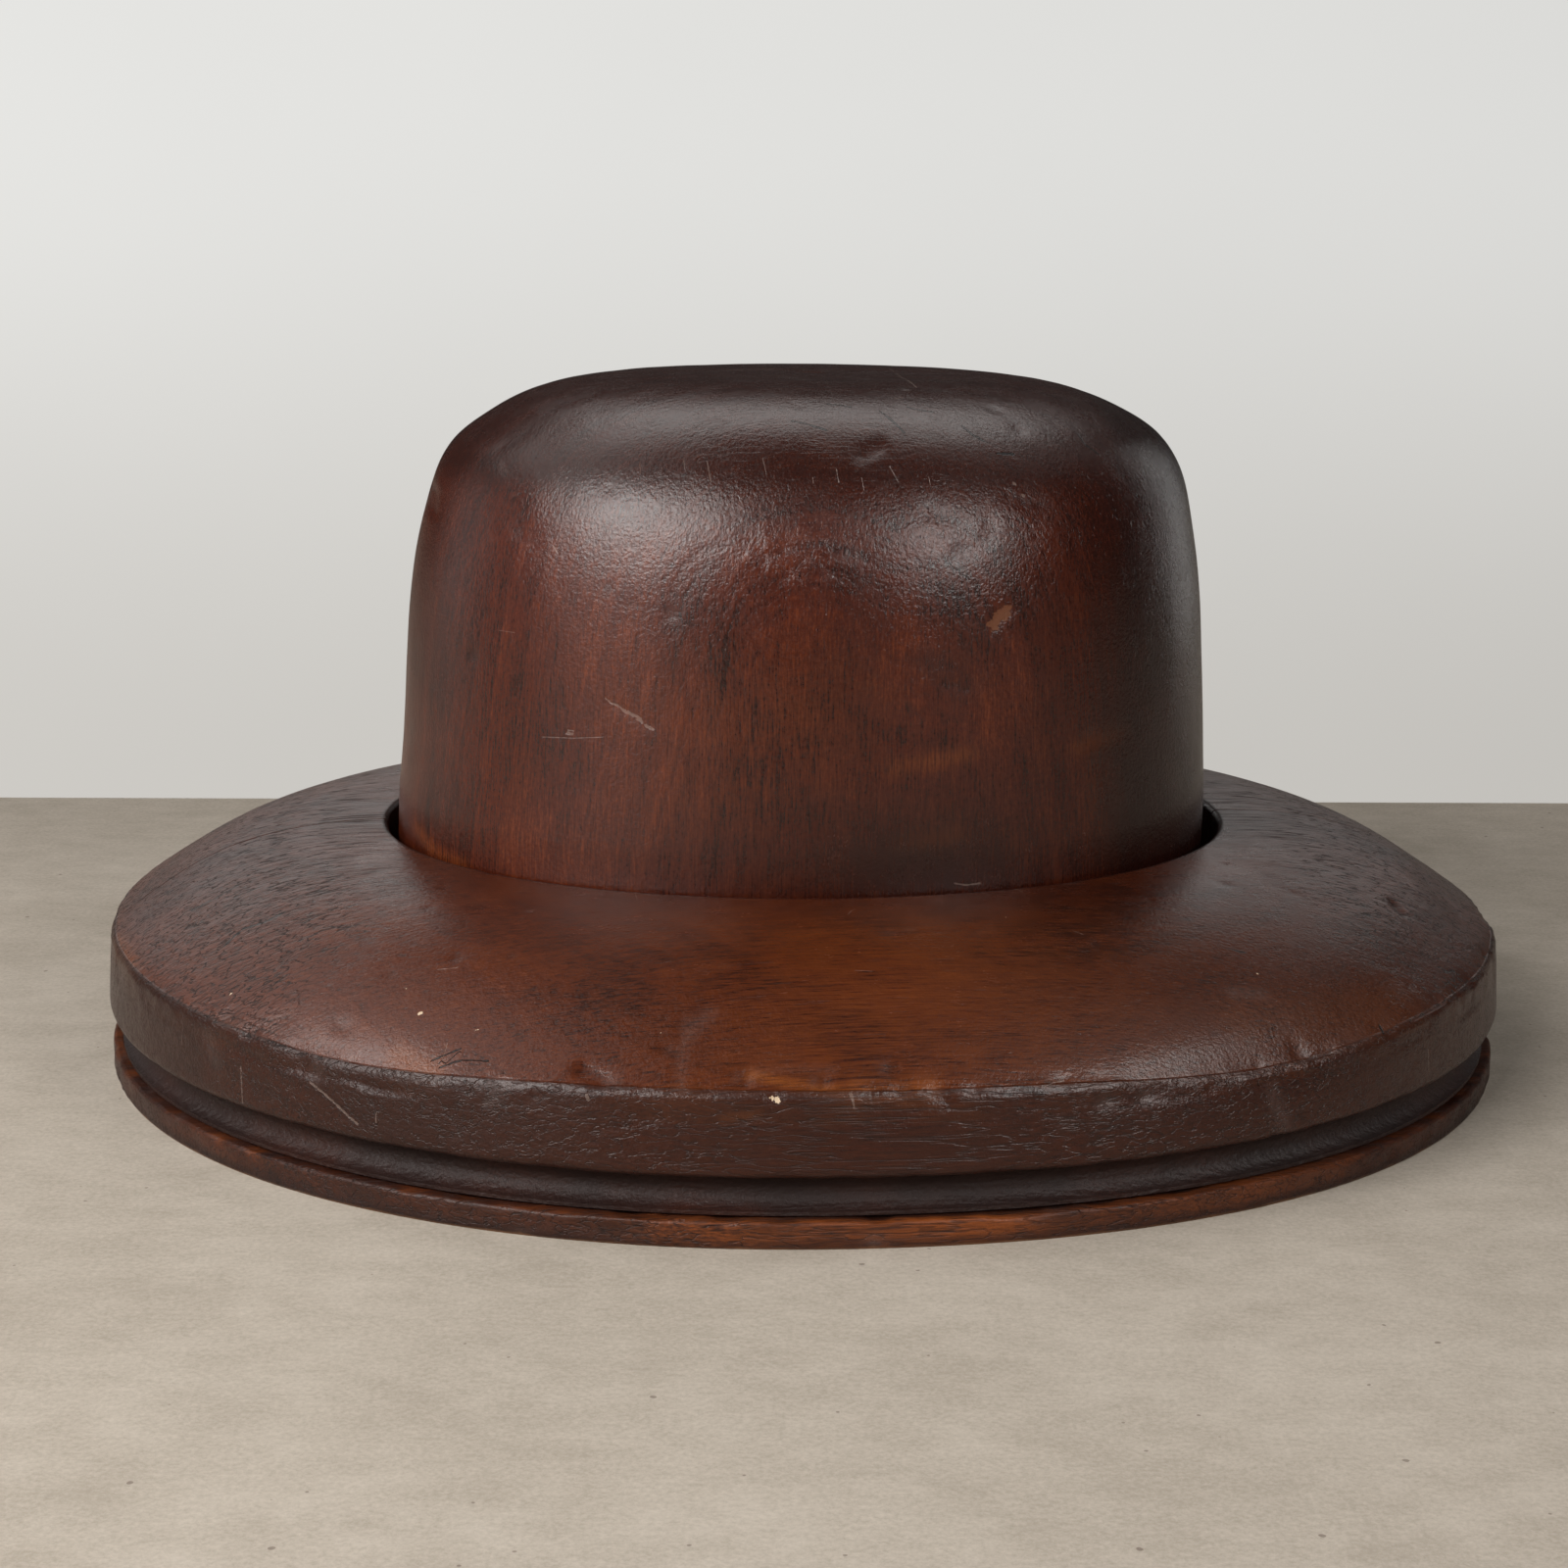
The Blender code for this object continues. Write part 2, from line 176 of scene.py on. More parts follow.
def bell(values, centre, reach):
    return np.exp(-(((values - centre) / reach) ** 2))


def oval(half_length, half_width, fullness, angle):
    """Points on superellipses; the arguments may be arrays that broadcast."""
    power = 2 / fullness
    along, across = np.cos(angle), np.sin(angle)
    x = half_length * np.sign(along) * np.abs(along) ** power
    y = half_width * np.sign(across) * np.abs(across) ** power
    return x, y


def level_ring(x, y, z):
    """A ring of points at one height."""
    return np.stack((x, y, np.full(len(x), float(z))), axis=1)


def lattice_noise(points, wavelength, seed):
    """Smooth noise between -1 and 1 at the given points."""
    scaled = points / wavelength + np.array(SEED_SHIFT) * (seed + 1)
    base = np.floor(scaled)
    part = scaled - base
    part = part * part * (3 - 2 * part)
    base = base.astype(np.int64)
    total = np.zeros(len(points))
    for corner in np.ndindex(2, 2, 2):
        cell = base + np.array(corner)
        mix = (cell * PRIMES[:3]).sum(axis=1) + seed * PRIMES[3] & LOW_BITS
        for shift, prime in ((15, PRIMES[2]), (13, PRIMES[3])):
            mix = (mix ^ mix >> shift) * prime & LOW_BITS
        value = (mix ^ (mix >> 16)) / LOW_BITS * 2 - 1
        weight = np.prod(np.where(corner, part, 1 - part), axis=1)
        total += weight * value
    return total


def stroke(points, line):
    """Nearest offset from each 2-D point to a polyline, as a vector."""
    best = np.full(len(points), np.inf)
    offset = np.zeros((len(points), 2))
    line = np.array(line, dtype=float)
    if len(line) == 1:
        return points - line[0]
    for start, end in zip(line[:-1], line[1:]):
        run = end - start
        share = unit((points - start) @ run / (run @ run))
        away = points - start - share[:, None] * run
        size = (away ** 2).sum(axis=1)
        closer = size < best
        best = np.where(closer, size, best)
        offset[closer] = away[closer]
    return offset


class Skin:
    """A piece's surface as rows of points, with the relief, wear, painted shade and painted sheen
    it has gathered.
    """

    LINE_REACH = 2.0
    # The grime level holds real grime and also painted shade; the pale level holds pale wear and,
    # on the brim's ends, painted sheen.
    WEAR_AND_PAINTED_LIGHT = ("rub", "bare", "grime", "pale", "check", "raw", "ripple", "matte")
    LINES = ("crack", "scratch")

    def __init__(self, rows):
        self.shape = rows.shape[:2]
        self.points = rows.reshape(-1, 3)
        along = np.gradient(rows, axis=0)
        round_ = np.gradient(rows, axis=1)
        normals = np.cross(round_, along).reshape(-1, 3)
        size = np.linalg.norm(normals, axis=1)
        self.normals = normals / np.maximum(size, 1e-9)[:, None]
        count = len(self.points)
        self.relief = np.zeros(count)
        self.wear = {name: np.zeros(count) for name in self.WEAR_AND_PAINTED_LIGHT}
        unreached = (0, 0, -self.LINE_REACH)
        self.lines = {name: np.tile(unreached, (count, 1)) for name in self.LINES}
        self.nearest = {name: np.full(count, self.LINE_REACH) for name in self.lines}

    def noise(self, wavelength, seed, stretch=(1, 1, 1)):
        return lattice_noise(self.points / np.array(stretch), wavelength, seed)

    def press(self, kind, plane, where, line, width, depth, **wear):
        """A mark is soft; a patch falls evenly, so that the shader can give it an edge."""
        away = np.linalg.norm(stroke(self.points[where][:, plane], line), axis=1)
        level = bell(away, 0, width) if kind == "mark" else unit(1 - away / (2 * width))
        cut = level if kind == "mark" else unit((level - 0.4) * 5)
        self.relief[where] -= depth * cut
        for name, strength in wear.items():
            self.raise_wear(name, where, strength * level)

    def raise_wear(self, name, where, values):
        """Raise a wear level, painted shade included, over a mask to values for the mask's points
        or for every point.
        """
        level = self.wear[name]
        if np.shape(values) == level.shape:
            values = values[where]
        level[where] = np.maximum(level[where], values)

    def hairline(self, kind, plane, where, line, width):
        """Note the offset to a fine line, which the shader draws at its own width."""
        offset = stroke(self.points[where][:, plane], line)
        away = np.linalg.norm(offset, axis=1)
        index = np.flatnonzero(where)
        closer = away < self.nearest[kind][index]
        index, offset, away = index[closer], offset[closer], away[closer]
        self.nearest[kind][index] = away
        self.lines[kind][index, :2] = offset
        self.lines[kind][index, 2] = width * unit(1.6 - away / 1.25)

    def rows(self):
        moved = self.points + self.normals * np.minimum(self.relief, 0)[:, None]
        return moved.reshape(*self.shape, 3)


def build_mesh(name, points, faces):
    """Mesh from points in millimetres and a list of equal-sized face arrays."""
    mesh = bpy.data.meshes.new(name)
    sizes = np.concatenate([np.full(len(group), group.shape[1]) for group in faces])
    corners = np.concatenate([group.ravel() for group in faces])
    mesh.vertices.add(len(points))
    mesh.vertices.foreach_set("co", (points * MM).astype(np.float32).ravel())
    mesh.loops.add(len(corners))
    mesh.loops.foreach_set("vertex_index", corners.astype(np.int32))
    mesh.polygons.add(len(sizes))
    starts = np.concatenate(([0], np.cumsum(sizes)[:-1]))
    mesh.polygons.foreach_set("loop_start", starts.astype(np.int32))
    mesh.update(calc_edges=True)
    mesh.validate()
    return mesh


def grid_quads(rows, columns, close_rows, close_columns):
    index = np.arange(rows * columns).reshape(rows, columns)
    if close_rows:
        index = np.vstack((index, index[:1]))
    if close_columns:
        index = np.hstack((index, index[:, :1]))
    quads = np.stack((index[:-1, :-1], index[:-1, 1:], index[1:, 1:], index[1:, :-1]), -1)
    return quads.reshape(-1, 4)


def store_wear(mesh, skin):
    """Wear levels, painted shade and painted sheen included, and line offsets go to the shader as
    point attributes.
    """
    spare = len(mesh.vertices) - len(skin.points)
    for name, values in skin.wear.items():
        layer = mesh.attributes.new(name, "FLOAT", "POINT")
        layer.data.foreach_set("value", np.append(values, np.zeros(spare)).astype(np.float32))
    for name, values in skin.lines.items():
        layer = mesh.attributes.new(name, "FLOAT_VECTOR", "POINT")
        padded = np.vstack((values, np.tile((0, 0, -Skin.LINE_REACH), (spare, 1))))
        layer.data.foreach_set("vector", padded.astype(np.float32).ravel())


def travelled(steps):
    return np.concatenate(([0], np.cumsum(steps)))


def spread(count, start, end):
    """Angles from start to end, crowded at the front."""
    fine = np.linspace(start, end, 4000)
    weight = 1 - FRONT_DENSITY * np.sin(fine)
    travel = travelled((weight[1:] + weight[:-1]) / 2)
    return np.interp(np.linspace(0, travel[-1], count), travel, fine)


def round_angles(columns):
    return spread(columns + 1, -math.pi / 2, 1.5 * math.pi)[:-1]


def even_steps(points, spacing):
    """Resample a section by arc length; the last point is left to the next stretch."""
    points = np.array(points, dtype=float)
    travel = travelled(np.linalg.norm(np.diff(points, axis=0), axis=1))
    count = max(int(round(travel[-1] / spacing)), 1)
    wanted = np.linspace(0, travel[-1], count + 1)[:-1]
    return np.stack([np.interp(wanted, travel, points[:, i]) for i in range(points.shape[1])], 1)


def arc_corner(before, corner, after, radius, steps=12):
    """Arc that rounds a corner of a section, from one side to the other."""
    before, corner, after = (np.array(point, dtype=float) for point in (before, corner, after))
    into = (before - corner) / np.linalg.norm(before - corner)
    out = (after - corner) / np.linalg.norm(after - corner)
    half = math.acos(np.clip(into @ out, -1, 1)) / 2
    reach = radius / math.tan(half)
    start, end = corner + into * reach, corner + out * reach
    middle = into + out
    centre = corner + middle / np.linalg.norm(middle) * reach / math.cos(half)
    spokes = [(start - centre) * (1 - t) + (end - centre) * t for t in np.linspace(0, 1, steps)]
    length = np.linalg.norm(start - centre)
    return [centre + spoke / np.linalg.norm(spoke) * length for spoke in spokes]


def brim_shape(inset):
    """Half length, half width and fullness of the oval at an inset from the outline."""
    share = inset / BRIM_BREADTH
    half_length = BRIM_HALF_LENGTH - BRIM_BREADTH_ENDS * share
    half_width = BRIM_HALF_WIDTH - BRIM_BREADTH_SIDES * share
    return half_length, half_width, BRIM_FULLNESS + (CROWN_FULLNESS - BRIM_FULLNESS) * share


def seam_angle(inset, y):
    """How far past the long axis a ring meets the seam."""
    _, half_width, fullness = brim_shape(inset)
    return np.arcsin((np.abs(y) / half_width) ** (fullness / 2))


def brim_top_height(inset):
    reach = BRIM_BREADTH - BRIM_CREASE_INSET
    share = (inset - BRIM_CREASE_INSET) / reach
    return BRIM_CREASE_HEIGHT + BRIM_RISE * (1 - (1 - share) ** BRIM_DOME_POWER)


def groove_points():
    middle = GROOVE_BOTTOM + GROOVE_HEIGHT / 2
    share = np.linspace(0, 1, 40)
    swing = math.pi * (share - 0.5)
    edge = GROOVE_LIP_INSET + (WALL_FOOT_RADIUS - GROOVE_LIP_INSET) * share
    inset = edge + (GROOVE_DEPTH - edge) * np.cos(swing)
    return list(zip(inset, middle + GROOVE_HEIGHT / 2 * np.sin(swing)))


def brim_section():
    """The slab's section as (inset, height), from the lip round to the lip again."""
    foot = (0, GROOVE_BOTTOM + GROOVE_HEIGHT)
    crease = (BRIM_CREASE_INSET, BRIM_CREASE_HEIGHT)
    groove = groove_points()
    dome_start = CREASE_RADIUS * 0.75
    insets = np.linspace(dome_start, BRIM_BREADTH - RIM_RADIUS * 1.4, 60)
    dome = [(inset, brim_top_height(inset)) for inset in insets]
    rim = (BRIM_BREADTH, brim_top_height(BRIM_BREADTH))
    hole_foot = (BRIM_BREADTH, SLAB_BOTTOM + HOLE_FOOT_CHAMFER)
    bottom = (BRIM_BREADTH - HOLE_FOOT_CHAMFER, SLAB_BOTTOM)
    lip = (GROOVE_LIP_INSET, SLAB_BOTTOM)
    foot_arc = arc_corner(groove[-1], foot, crease, FOOT_ARC_RADIUS)
    crease_arc = arc_corner(foot, crease, dome[0], CREASE_RADIUS)
    rim_arc = arc_corner(dome[-1], rim, hole_foot, RIM_RADIUS)
    stretches = (
        ([lip] + groove, 0.9),
        ([groove[-1]] + foot_arc, 0.45),
        ([foot_arc[-1], crease_arc[0]], 1),
        (crease_arc + [dome[0]], 0.45),
        (dome, 1.05),
        ([dome[-1]] + rim_arc, 0.5),
        ([rim_arc[-1], hole_foot, bottom], 2.5),
        ([bottom, lip], 6.5),
    )
    return np.vstack([even_steps(points, spacing) for points, spacing in stretches])


def crease_drop(x, y, z, insets):
    """How far the worn crease lies below its outline, with the wall kept upright."""
    near_crease = unit((z - 24) / 8) * unit((-y - 50) / 20)
    drop = np.zeros(x.shape)
    for centre, reach, depth, breadth in CREASE_DROPS:
        drop += depth * np.exp(-(((x - centre) / reach) ** 2) - ((insets / breadth) ** 2))
    return drop * near_crease


def brim_board_rows(side, columns):
    """Rows round one board: side -1 is the front board, +1 the rear one."""
    section = brim_section()
    inset, height = section[:, 0], section[:, 1]
    gap = side * SEAM_GAP / 2
    left = seam_angle(inset, np.interp(inset, *SEAM_WAVER) + gap)
    right = seam_angle(inset, np.full(len(inset), SEAM_Y) + gap)
    if side < 0:
        start, end = math.pi + left, 2 * math.pi - right
        share = spread(columns, math.pi, 2 * math.pi) / math.pi - 1
    else:
        start, end = -right, math.pi + left
        share = np.linspace(0, 1, columns)
    angle = start[:, None] + (end - start)[:, None] * share[None, :]
    x, y = oval(*brim_shape(inset[:, None]), angle)
    z = np.broadcast_to(height[:, None], x.shape)
    insets = np.broadcast_to(inset[:, None], x.shape)
    z = z - crease_drop(x, y, z, insets)
    return np.stack((x, y, z), axis=-1), insets.ravel()


def crown_section():
    """Rows of the crown as (reach, height) from the foot to the top."""
    turn = np.linspace(0, 1, 6000)
    width = 1 - turn ** 2
    rise = (1 - width ** CROWN_TURN_POWER) ** (1 / CROWN_RISE_POWER)
    height = CROWN_SHOULDER_START + (CROWN_HEIGHT - CROWN_SHOULDER_START) * rise
    scale = width * (1 - CROWN_TAPER_PER_MM * (height - CROWN_TAPER_START))
    shoulder = np.stack((scale * CROWN_LENGTH * SECTION_REACH, height), axis=1)
    flat = shoulder[:, 0] <= 40
    low = np.arange(CROWN_FOOT_CHAMFER, CROWN_TAPER_LEAD, 4)
    side = [(CROWN_LENGTH * SECTION_REACH, z) for z in low]
    upper = np.linspace(CROWN_TAPER_LEAD, CROWN_SHOULDER_START, 40)[:-1]
    taper = 1 - CROWN_TAPER_PER_MM * np.maximum(upper - CROWN_TAPER_START, 0)
    side += list(zip(CROWN_LENGTH * SECTION_REACH * taper, upper))
    top = even_steps(shoulder[flat & (shoulder[:, 0] > 1.2)], 2.4)
    return np.vstack((side, even_steps(shoulder[~flat], 1), top))


def full_shoulders(rows):
    """Fill the shoulders out unevenly, as on a crown that was shaped by hand."""
    x, z = rows[..., 0], rows[..., 2]
    push = np.zeros(x.shape)
    for side, level, out, below, above in CROWN_SHOULDERS:
        fall = np.where(z < level, below, above)
        share = unit(side * x / 90)
        push += side * out * share * bell(z, level, fall)
    flare = unit((78 - z) / 25) * unit(-x / 100)
    outside = np.hypot(x, rows[..., 1]) > 20
    rows[..., 0] += (push - CROWN_LEFT_FLARE * flare) * outside
    return rows


def crown_rows(columns):
    angle = round_angles(columns)
    half_length, half_width = CROWN_LENGTH / 2, CROWN_WIDTH / 2

    def circle(radius, z):
        return level_ring(radius * np.cos(angle), radius * np.sin(angle), z)

    bore = circle(SPINDLE_RADIUS + SPINDLE_CHAMFER, 0)
    foot = level_ring(*oval(
        half_length - CROWN_FOOT_CHAMFER, half_width - CROWN_FOOT_CHAMFER, CROWN_FULLNESS, angle,
    ), 0)
    rows = [circle(radius, SPINDLE_DEPTH) for radius in (1, 4, 8, 12)]
    rows += [
        circle(SPINDLE_RADIUS, z) for z in np.linspace(SPINDLE_DEPTH - 1, SPINDLE_CHAMFER, 14)
    ]
    rows += [bore * (1 - share) + foot * share for share in np.linspace(0, 1, 14)]
    for reach, height in crown_section():
        scale = reach / (CROWN_LENGTH * SECTION_REACH)
        ring = oval(half_length * scale, half_width * scale, CROWN_FULLNESS, angle)
        rows.append(level_ring(*ring, height))
    rows = np.array(rows)
    rows[..., 0] += CROWN_LEAN * unit(rows[..., 2] / CROWN_HEIGHT)
    return full_shoulders(rows + np.array(CROWN_PLACE))


def base_rows(columns):
    angle = round_angles(columns)
    inner = 60
    edge_top = BASE_THICKNESS - BASE_TOP_RADIUS
    section = [(inset, 0) for inset in (*np.linspace(inner, 4, 11), 2, BASE_FOOT_CHAMFER)]
    section += [(0, z) for z in np.linspace(BASE_FOOT_CHAMFER, edge_top, 8)]
    for turn in np.linspace(0, math.pi / 2, 6)[1:]:
        inset = BASE_TOP_RADIUS * (1 - math.cos(turn))
        section.append((inset, BASE_THICKNESS - BASE_TOP_RADIUS * (1 - math.sin(turn))))
    insets = (1.6, 2.1, 2.7, 3.4, 4.5, 6.5, *np.linspace(10, inner, 10))
    section += [(inset, BASE_THICKNESS) for inset in insets]

    def ring(inset, z):
        return level_ring(*oval(*brim_shape(BASE_INSET + inset), angle), z)

    shares = (0.12, 0.24, 0.37, 0.5, 0.63, 0.76, 0.88)
    level = np.array((1, 1, 0))
    lift = np.array((0, 0, BASE_THICKNESS))
    inside = [ring(inner, 0) * share * level for share in shares]
    rows = inside + [ring(inset, z) for inset, z in section]
    return np.array(rows + [row + lift for row in reversed(inside)])


XY, XZ, YZ = [0, 1], [0, 2], [1, 2]
PLANES = (YZ, XZ, XY)


def draw_marks(skin, plane, where, table):
    """Press or draw each stroke of a table into the part of a skin that the mask keeps."""
    for row in table.strip().splitlines():
        words, strokes = row.split(":")
        kind, *sizes = words.split()
        width, depth = (float(size) for size in (*sizes, 0)[:2])
        wear = {sizes[2]: float(sizes[3])} if len(sizes) > 2 else {}
        for points in strokes.split("/"):
            line = np.array(points.split(), dtype=float).reshape(-1, 2)
            if kind in Skin.LINES:
                skin.hairline(kind, plane, where, line, width)
            else:
                skin.press(kind, plane, where, line, width, depth, **wear)


# Wear that the photograph shows: kind, width, depth, wear and its level, then strokes of
# points, which are x and z on upright faces and x and y on top. Fine lines have no depth.
CROWN_FRONT_MARKS = """
mark 0.55 0.225 pale 0.3 : -53.2 97.5  -51.1 96.4  -48.8 95  -46.4 93.4  -44.3 92.4
mark 0.8 0.081 grime 0.35 : -41.8 115.3  -40.5 121.5  -37.5 128.8  -33.6 132.4  -28.6 134.2
mark 0.7 0.0675 grime 0.2 : -40.4 112.2  -38.6 119.8  -35.6 126.4  -31.7 130.3
mark 1.5 0.18 pale 0.3 : -40.1 118.2
mark 0.9 0.1125 grime 0.6 : -53.9 123.5 / -48.8 120.2
mark 0.8 0.09 grime 0.7 : 12.3 98.1 / 13.7 96.8
mark 2.2 0.225 : 18 140.9  21.3 139.2
mark 2 0.225 : 25.8 135.9  26.9 132.7
mark 2.2 0.315 grime 0.7 : 23.6 131.7
mark 1.8 0.18 : 30.2 134.3
mark 2.4 0.18 : 20 135
mark 1.6 0.18 : 31.7 137.8
mark 1.4 0.135 grime 0.7 : 36.3 143.8  39.2 142.4  44.5 141.2
mark 1 0.1125 grime 0.8 : 20.5 103.1  23.7 102.4  26.5 101.5
mark 4.5 0.0675 grime 0.45 : 15.6 107.7  21.1 105.6  26.5 102.9
mark 4 0.09 grime 0.4 : 25.7 108.4
mark 2.5 0.1575 : -76.2 138.9  -74.1 136.5  -72.2 133.5
mark 0.8 0.09 pale 0.4 : -76.6 148.1  -76 146.6
mark 3 0.04 ripple 0.6 : -18.4 134.6 / -17.6 129.3 / -11.9 135.7 / -12.8 131.9 / -9.8 129.6
mark 3 0.04 ripple 0.6 : -12.9 126.4 / -7.1 133.2 / -5.3 126.4 / -22.5 131 / -3 130.2
mark 2.2 0.04 rub 0.42 : 54.7 86  60.7 86.8  67.4 87.7 / 9.1 84  18 85.5  26.7 86.4
mark 2.2 0.04 rub 0.42 : 11.4 66.7  18.2 67.3  24 68.4
mark 1.6 0.1 rub 0.5 : -97.7 59.2  -94.2 56  -87.3 55.2
patch 0.5 0.05 bare 0.95 : -0.1 135.1 / 58.8 79.8 / 10.9 113.1
patch 1.5 0.15 bare 0.95 : 32.4 115.7  33.6 117.3  35.4 118.5
scratch 0.22 : -54.6 98.6  -53.4 97.6  -51.9 97.2  -51 96.3 / 23.8 57.2  26.6 56.5  30.6 56.7
scratch 0.42 : -50.4 95.9  -49.2 95.8  -48.5 94.9  -47 94.3  -46.2 93.2  -44.2 92.3
scratch 0.3 : -48.6 95.6  -47.4 94.9  -46.6 94.1 / 37.8 146.6  38.3 146.3 / 40 144  40.3 143.7
scratch 0.05 : -78.6 111.3  -74.2 111.3
scratch 0.2 : -65.9 131.8  -64.9 130.2 / -63 90.6  -61.5 90.5
scratch 0.07 : -69 88.3  -61.9 88.9  -55 89.8 / -36.7 152.2  -36.6 149.7 / -3.1 150.5  -2.7 147.4
scratch 0.07 : 2.5 148.6  2.9 145.5 / -8.5 148.8  -8.4 147 / 17.8 148.8  18.1 146.8
scratch 0.08 : -46.4 151.2  -46.3 148.3 / -31.6 151.7  -31 147 / -19.3 152.6  -18.7 149.1
scratch 0.08 : 8.9 151  10.9 147.3
"""
CROWN_TOP_MARKS = """
mark 1.6 0.7 grime 0.7 : 2.9 -69.5  4.9 -68.8  7.1 -67.9
scratch 0.2 : 21.2 9.3  19.6 -19.4  20 -39.2
crack 0.2 : 8.5 -57.7  10.5 -60.5  13.3 -64.4 / 27.3 -60  29.3 -62  32.1 -62.8
crack 0.2 : -11.7 -61.2  -8.1 -62.7  -4.3 -64.4 / -3.1 -55  -0.5 -55.5  2.1 -56.5
crack 0.2 : 15.4 -55.3  18.4 -56.4  21.1 -56.6 / 34.5 -64.6  38.9 -63.4
crack 0.2 : 56.3 -49.7  57.9 -52.3  61.5 -52.3
"""
CROWN_EDGE_MARKS = "mark 1.4 0.5 : -92.6 138.7  -93.1 134.8"
BRIM_TOP_MARKS = """
mark 1.2 0.35 pale 0.3 : -113.9 -114.1  -112.4 -116
mark 1.2 0.9 grime 1 : 132.7 -67.6  133 -72.6  132.7 -70.6
mark 3.5 0.1 grime 0.5 : -163.3 -30.5  -146.7 -29.1
mark 6 0.1 grime 0.35 : -142.7 -52.4
mark 5 0.1 grime 0.35 : -105.6 -47.9
mark 0.7 0.2 grime 1 : 95.6 -119.4 / 103.3 -120.8
mark 1.8 0.6 pale 0.45 : 90.6 -135.3  94 -135.5  98.8 -133.1
mark 1.6 0.4 pale 0.35 : 123.9 -114.5  127.8 -110.2  132.6 -104
mark 1.6 0.1 pale 0.45 : 77.2 -126.4  84.4 -124.7
mark 1.8 0.8 grime 0.35 : -31.5 -152.9
mark 1.6 0.7 grime 0.35 : -15.9 -155.1
mark 1.6 0.6 grime 0.3 : -1 -153
mark 1.8 0.7 grime 0.2 : -63.4 -145.1  -61.3 -146.5  -59.4 -148.2
mark 0.9 0.15 pale 0.3 : -42.2 -137.3  -43.5 -144.4  -44.4 -149.8  -44.3 -153.7
mark 2 0.1 pale 0.4 : -41.7 -141.3  -38.8 -138.4  -37.2 -136.8
mark 1 0.5 pale 0.2 : -29.9 -151.5  -23 -151.8  -13.4 -152.4
mark 4 0.25 pale 0.3 : 151.5 -38.2  154.1 -47.6  155.6 -58.7
patch 0.5 0.05 bare 0.95 : -99.1 -112.2 / -137.9 -89.3 / -96.4 -120.2 / -90.9 -120.1
patch 0.5 0.05 bare 0.95 : -84.4 -129.6 / -49 -130.4 / -7.1 -92.2 / 9.3 -133.4 / -47 -139.8
patch 0.5 0.05 bare 0.95 : 32.2 -102 / 85.4 -118.4
crack 0.35 : -150.3 -43.1  -144.6 -42.7  -139 -40.4 / 124.3 -16.3  127.4 -16.9
crack 0.28 : -139.9 -47.2  -136.5 -46.9  -133.4 -46.4
crack 0.4 : -140.9 -70.2  -136.9 -66.4  -131.5 -67.5  -127.6 -66
crack 0.3 : 112.9 -120.6  113.6 -122.1 / 81.5 -111.3  84.3 -111.7
crack 0.45 : 120 15.9  121.7 14.2
crack 0.13 : -94.4 -131.9  -91.2 -132.1  -87.5 -132.2
crack 0.11 : -92.8 -133.9  -88.2 -134.5  -82.2 -137.1
"""
BRIM_EDGE_MARKS = """
mark 2.2 0.08 rub 0.5 : -101.5 -127.3  -97.5 -131.3  -93.4 -134.3
mark 9 0.08 rub 0.45 : 77.5 -133.6  97.4 -127.3  121.4 -112.6
mark 2.2 0.08 rub 0.8 : -170.6 -28  -167.2 -42.7  -164.3 -53.6
mark 2.4 0.08 rub 1 : -9 -157  0.3 -157.2  7 -157
mark 1.3 0.08 rub 0.95 : -30 -151.9  -23.3 -154.6  -15.5 -156.3  -7.1 -158
"""
WALL_MARKS = """
mark 1.3 0.1 pale 0.45 : -118.7 32.7  -118.8 26.6
mark 1.6 0.2 pale 0.3 : -143.2 27.9  -141.9 23.6
mark 2 0.1 pale 0.5 : 82.8 25.1  84.8 19.8  86.5 15
mark 2.5 0.1 grime 0.5 : -3.2 17.9
mark 0.9 0.1 pale 0.4 : -40.3 15.3  -35.5 15.3
mark 1.2 0.1 rub 0.8 : -35.5 28.1  -28.7 29.1
patch 0.78 0.2 bare 1 : -25.6 32.6  -25.1 31.8
scratch 0.24 : -119.9 25.7  -117 24.1  -113.9 21.9  -110 18.9
scratch 0.11 : -135.4 24.8  -135.2 16.8
scratch 0.14 : 127.3 24.5  127.6 19
scratch 0.35 : -63 31.6  -62.6 30.4
scratch 0.3 : -10 33  -9.3 30.5
"""
LIP_MARKS = "mark 2.4 0.3 grime 0.9 : -60 3  -53 3.6"


def scatter(skin, where, count, seed, low, high, depth):
    """Small knocks at seeded places over the part of a skin that the mask keeps."""
    draw = np.random.default_rng(seed)
    places = skin.points[np.flatnonzero(where)]
    for _ in range(count):
        centre = places[draw.integers(len(places))]
        radius = draw.uniform(low, high)
        near = where & (((skin.points - centre) ** 2).sum(axis=1) < (3 * radius) ** 2)
        away = np.linalg.norm(skin.points[near] - centre, axis=1)
        soft = np.exp(-((away / radius) ** 2))
        skin.relief[near] -= depth * draw.uniform(0.4, 1) * soft
        kind = ("grime", "pale", "grime")[draw.integers(3)]
        skin.raise_wear(kind, near, draw.uniform(0.2, 0.7) * soft)


def scratches(skin, where, count, seed, length, width):
    """Short seeded scratches, each drawn in the plane that its place faces."""
    draw = np.random.default_rng(seed)
    index = np.flatnonzero(where)
    for _ in range(count):
        spot = index[draw.integers(len(index))]
        plane = PLANES[int(np.argmax(np.abs(skin.normals[spot])))]
        angle = draw.uniform(0, math.pi)
        run = np.array((math.cos(angle), math.sin(angle))) * draw.uniform(0.4, 1) * length
        start = skin.points[spot][plane]
        near = where & (((skin.points - skin.points[spot]) ** 2).sum(axis=1) < (length + 3) ** 2)
        bend = start + run * 0.5 + draw.uniform(-0.06, 0.06, 2) * length
        line = (start, bend, start + run)
        skin.hairline("scratch", plane, near, line, draw.uniform(0.4, 1) * width)


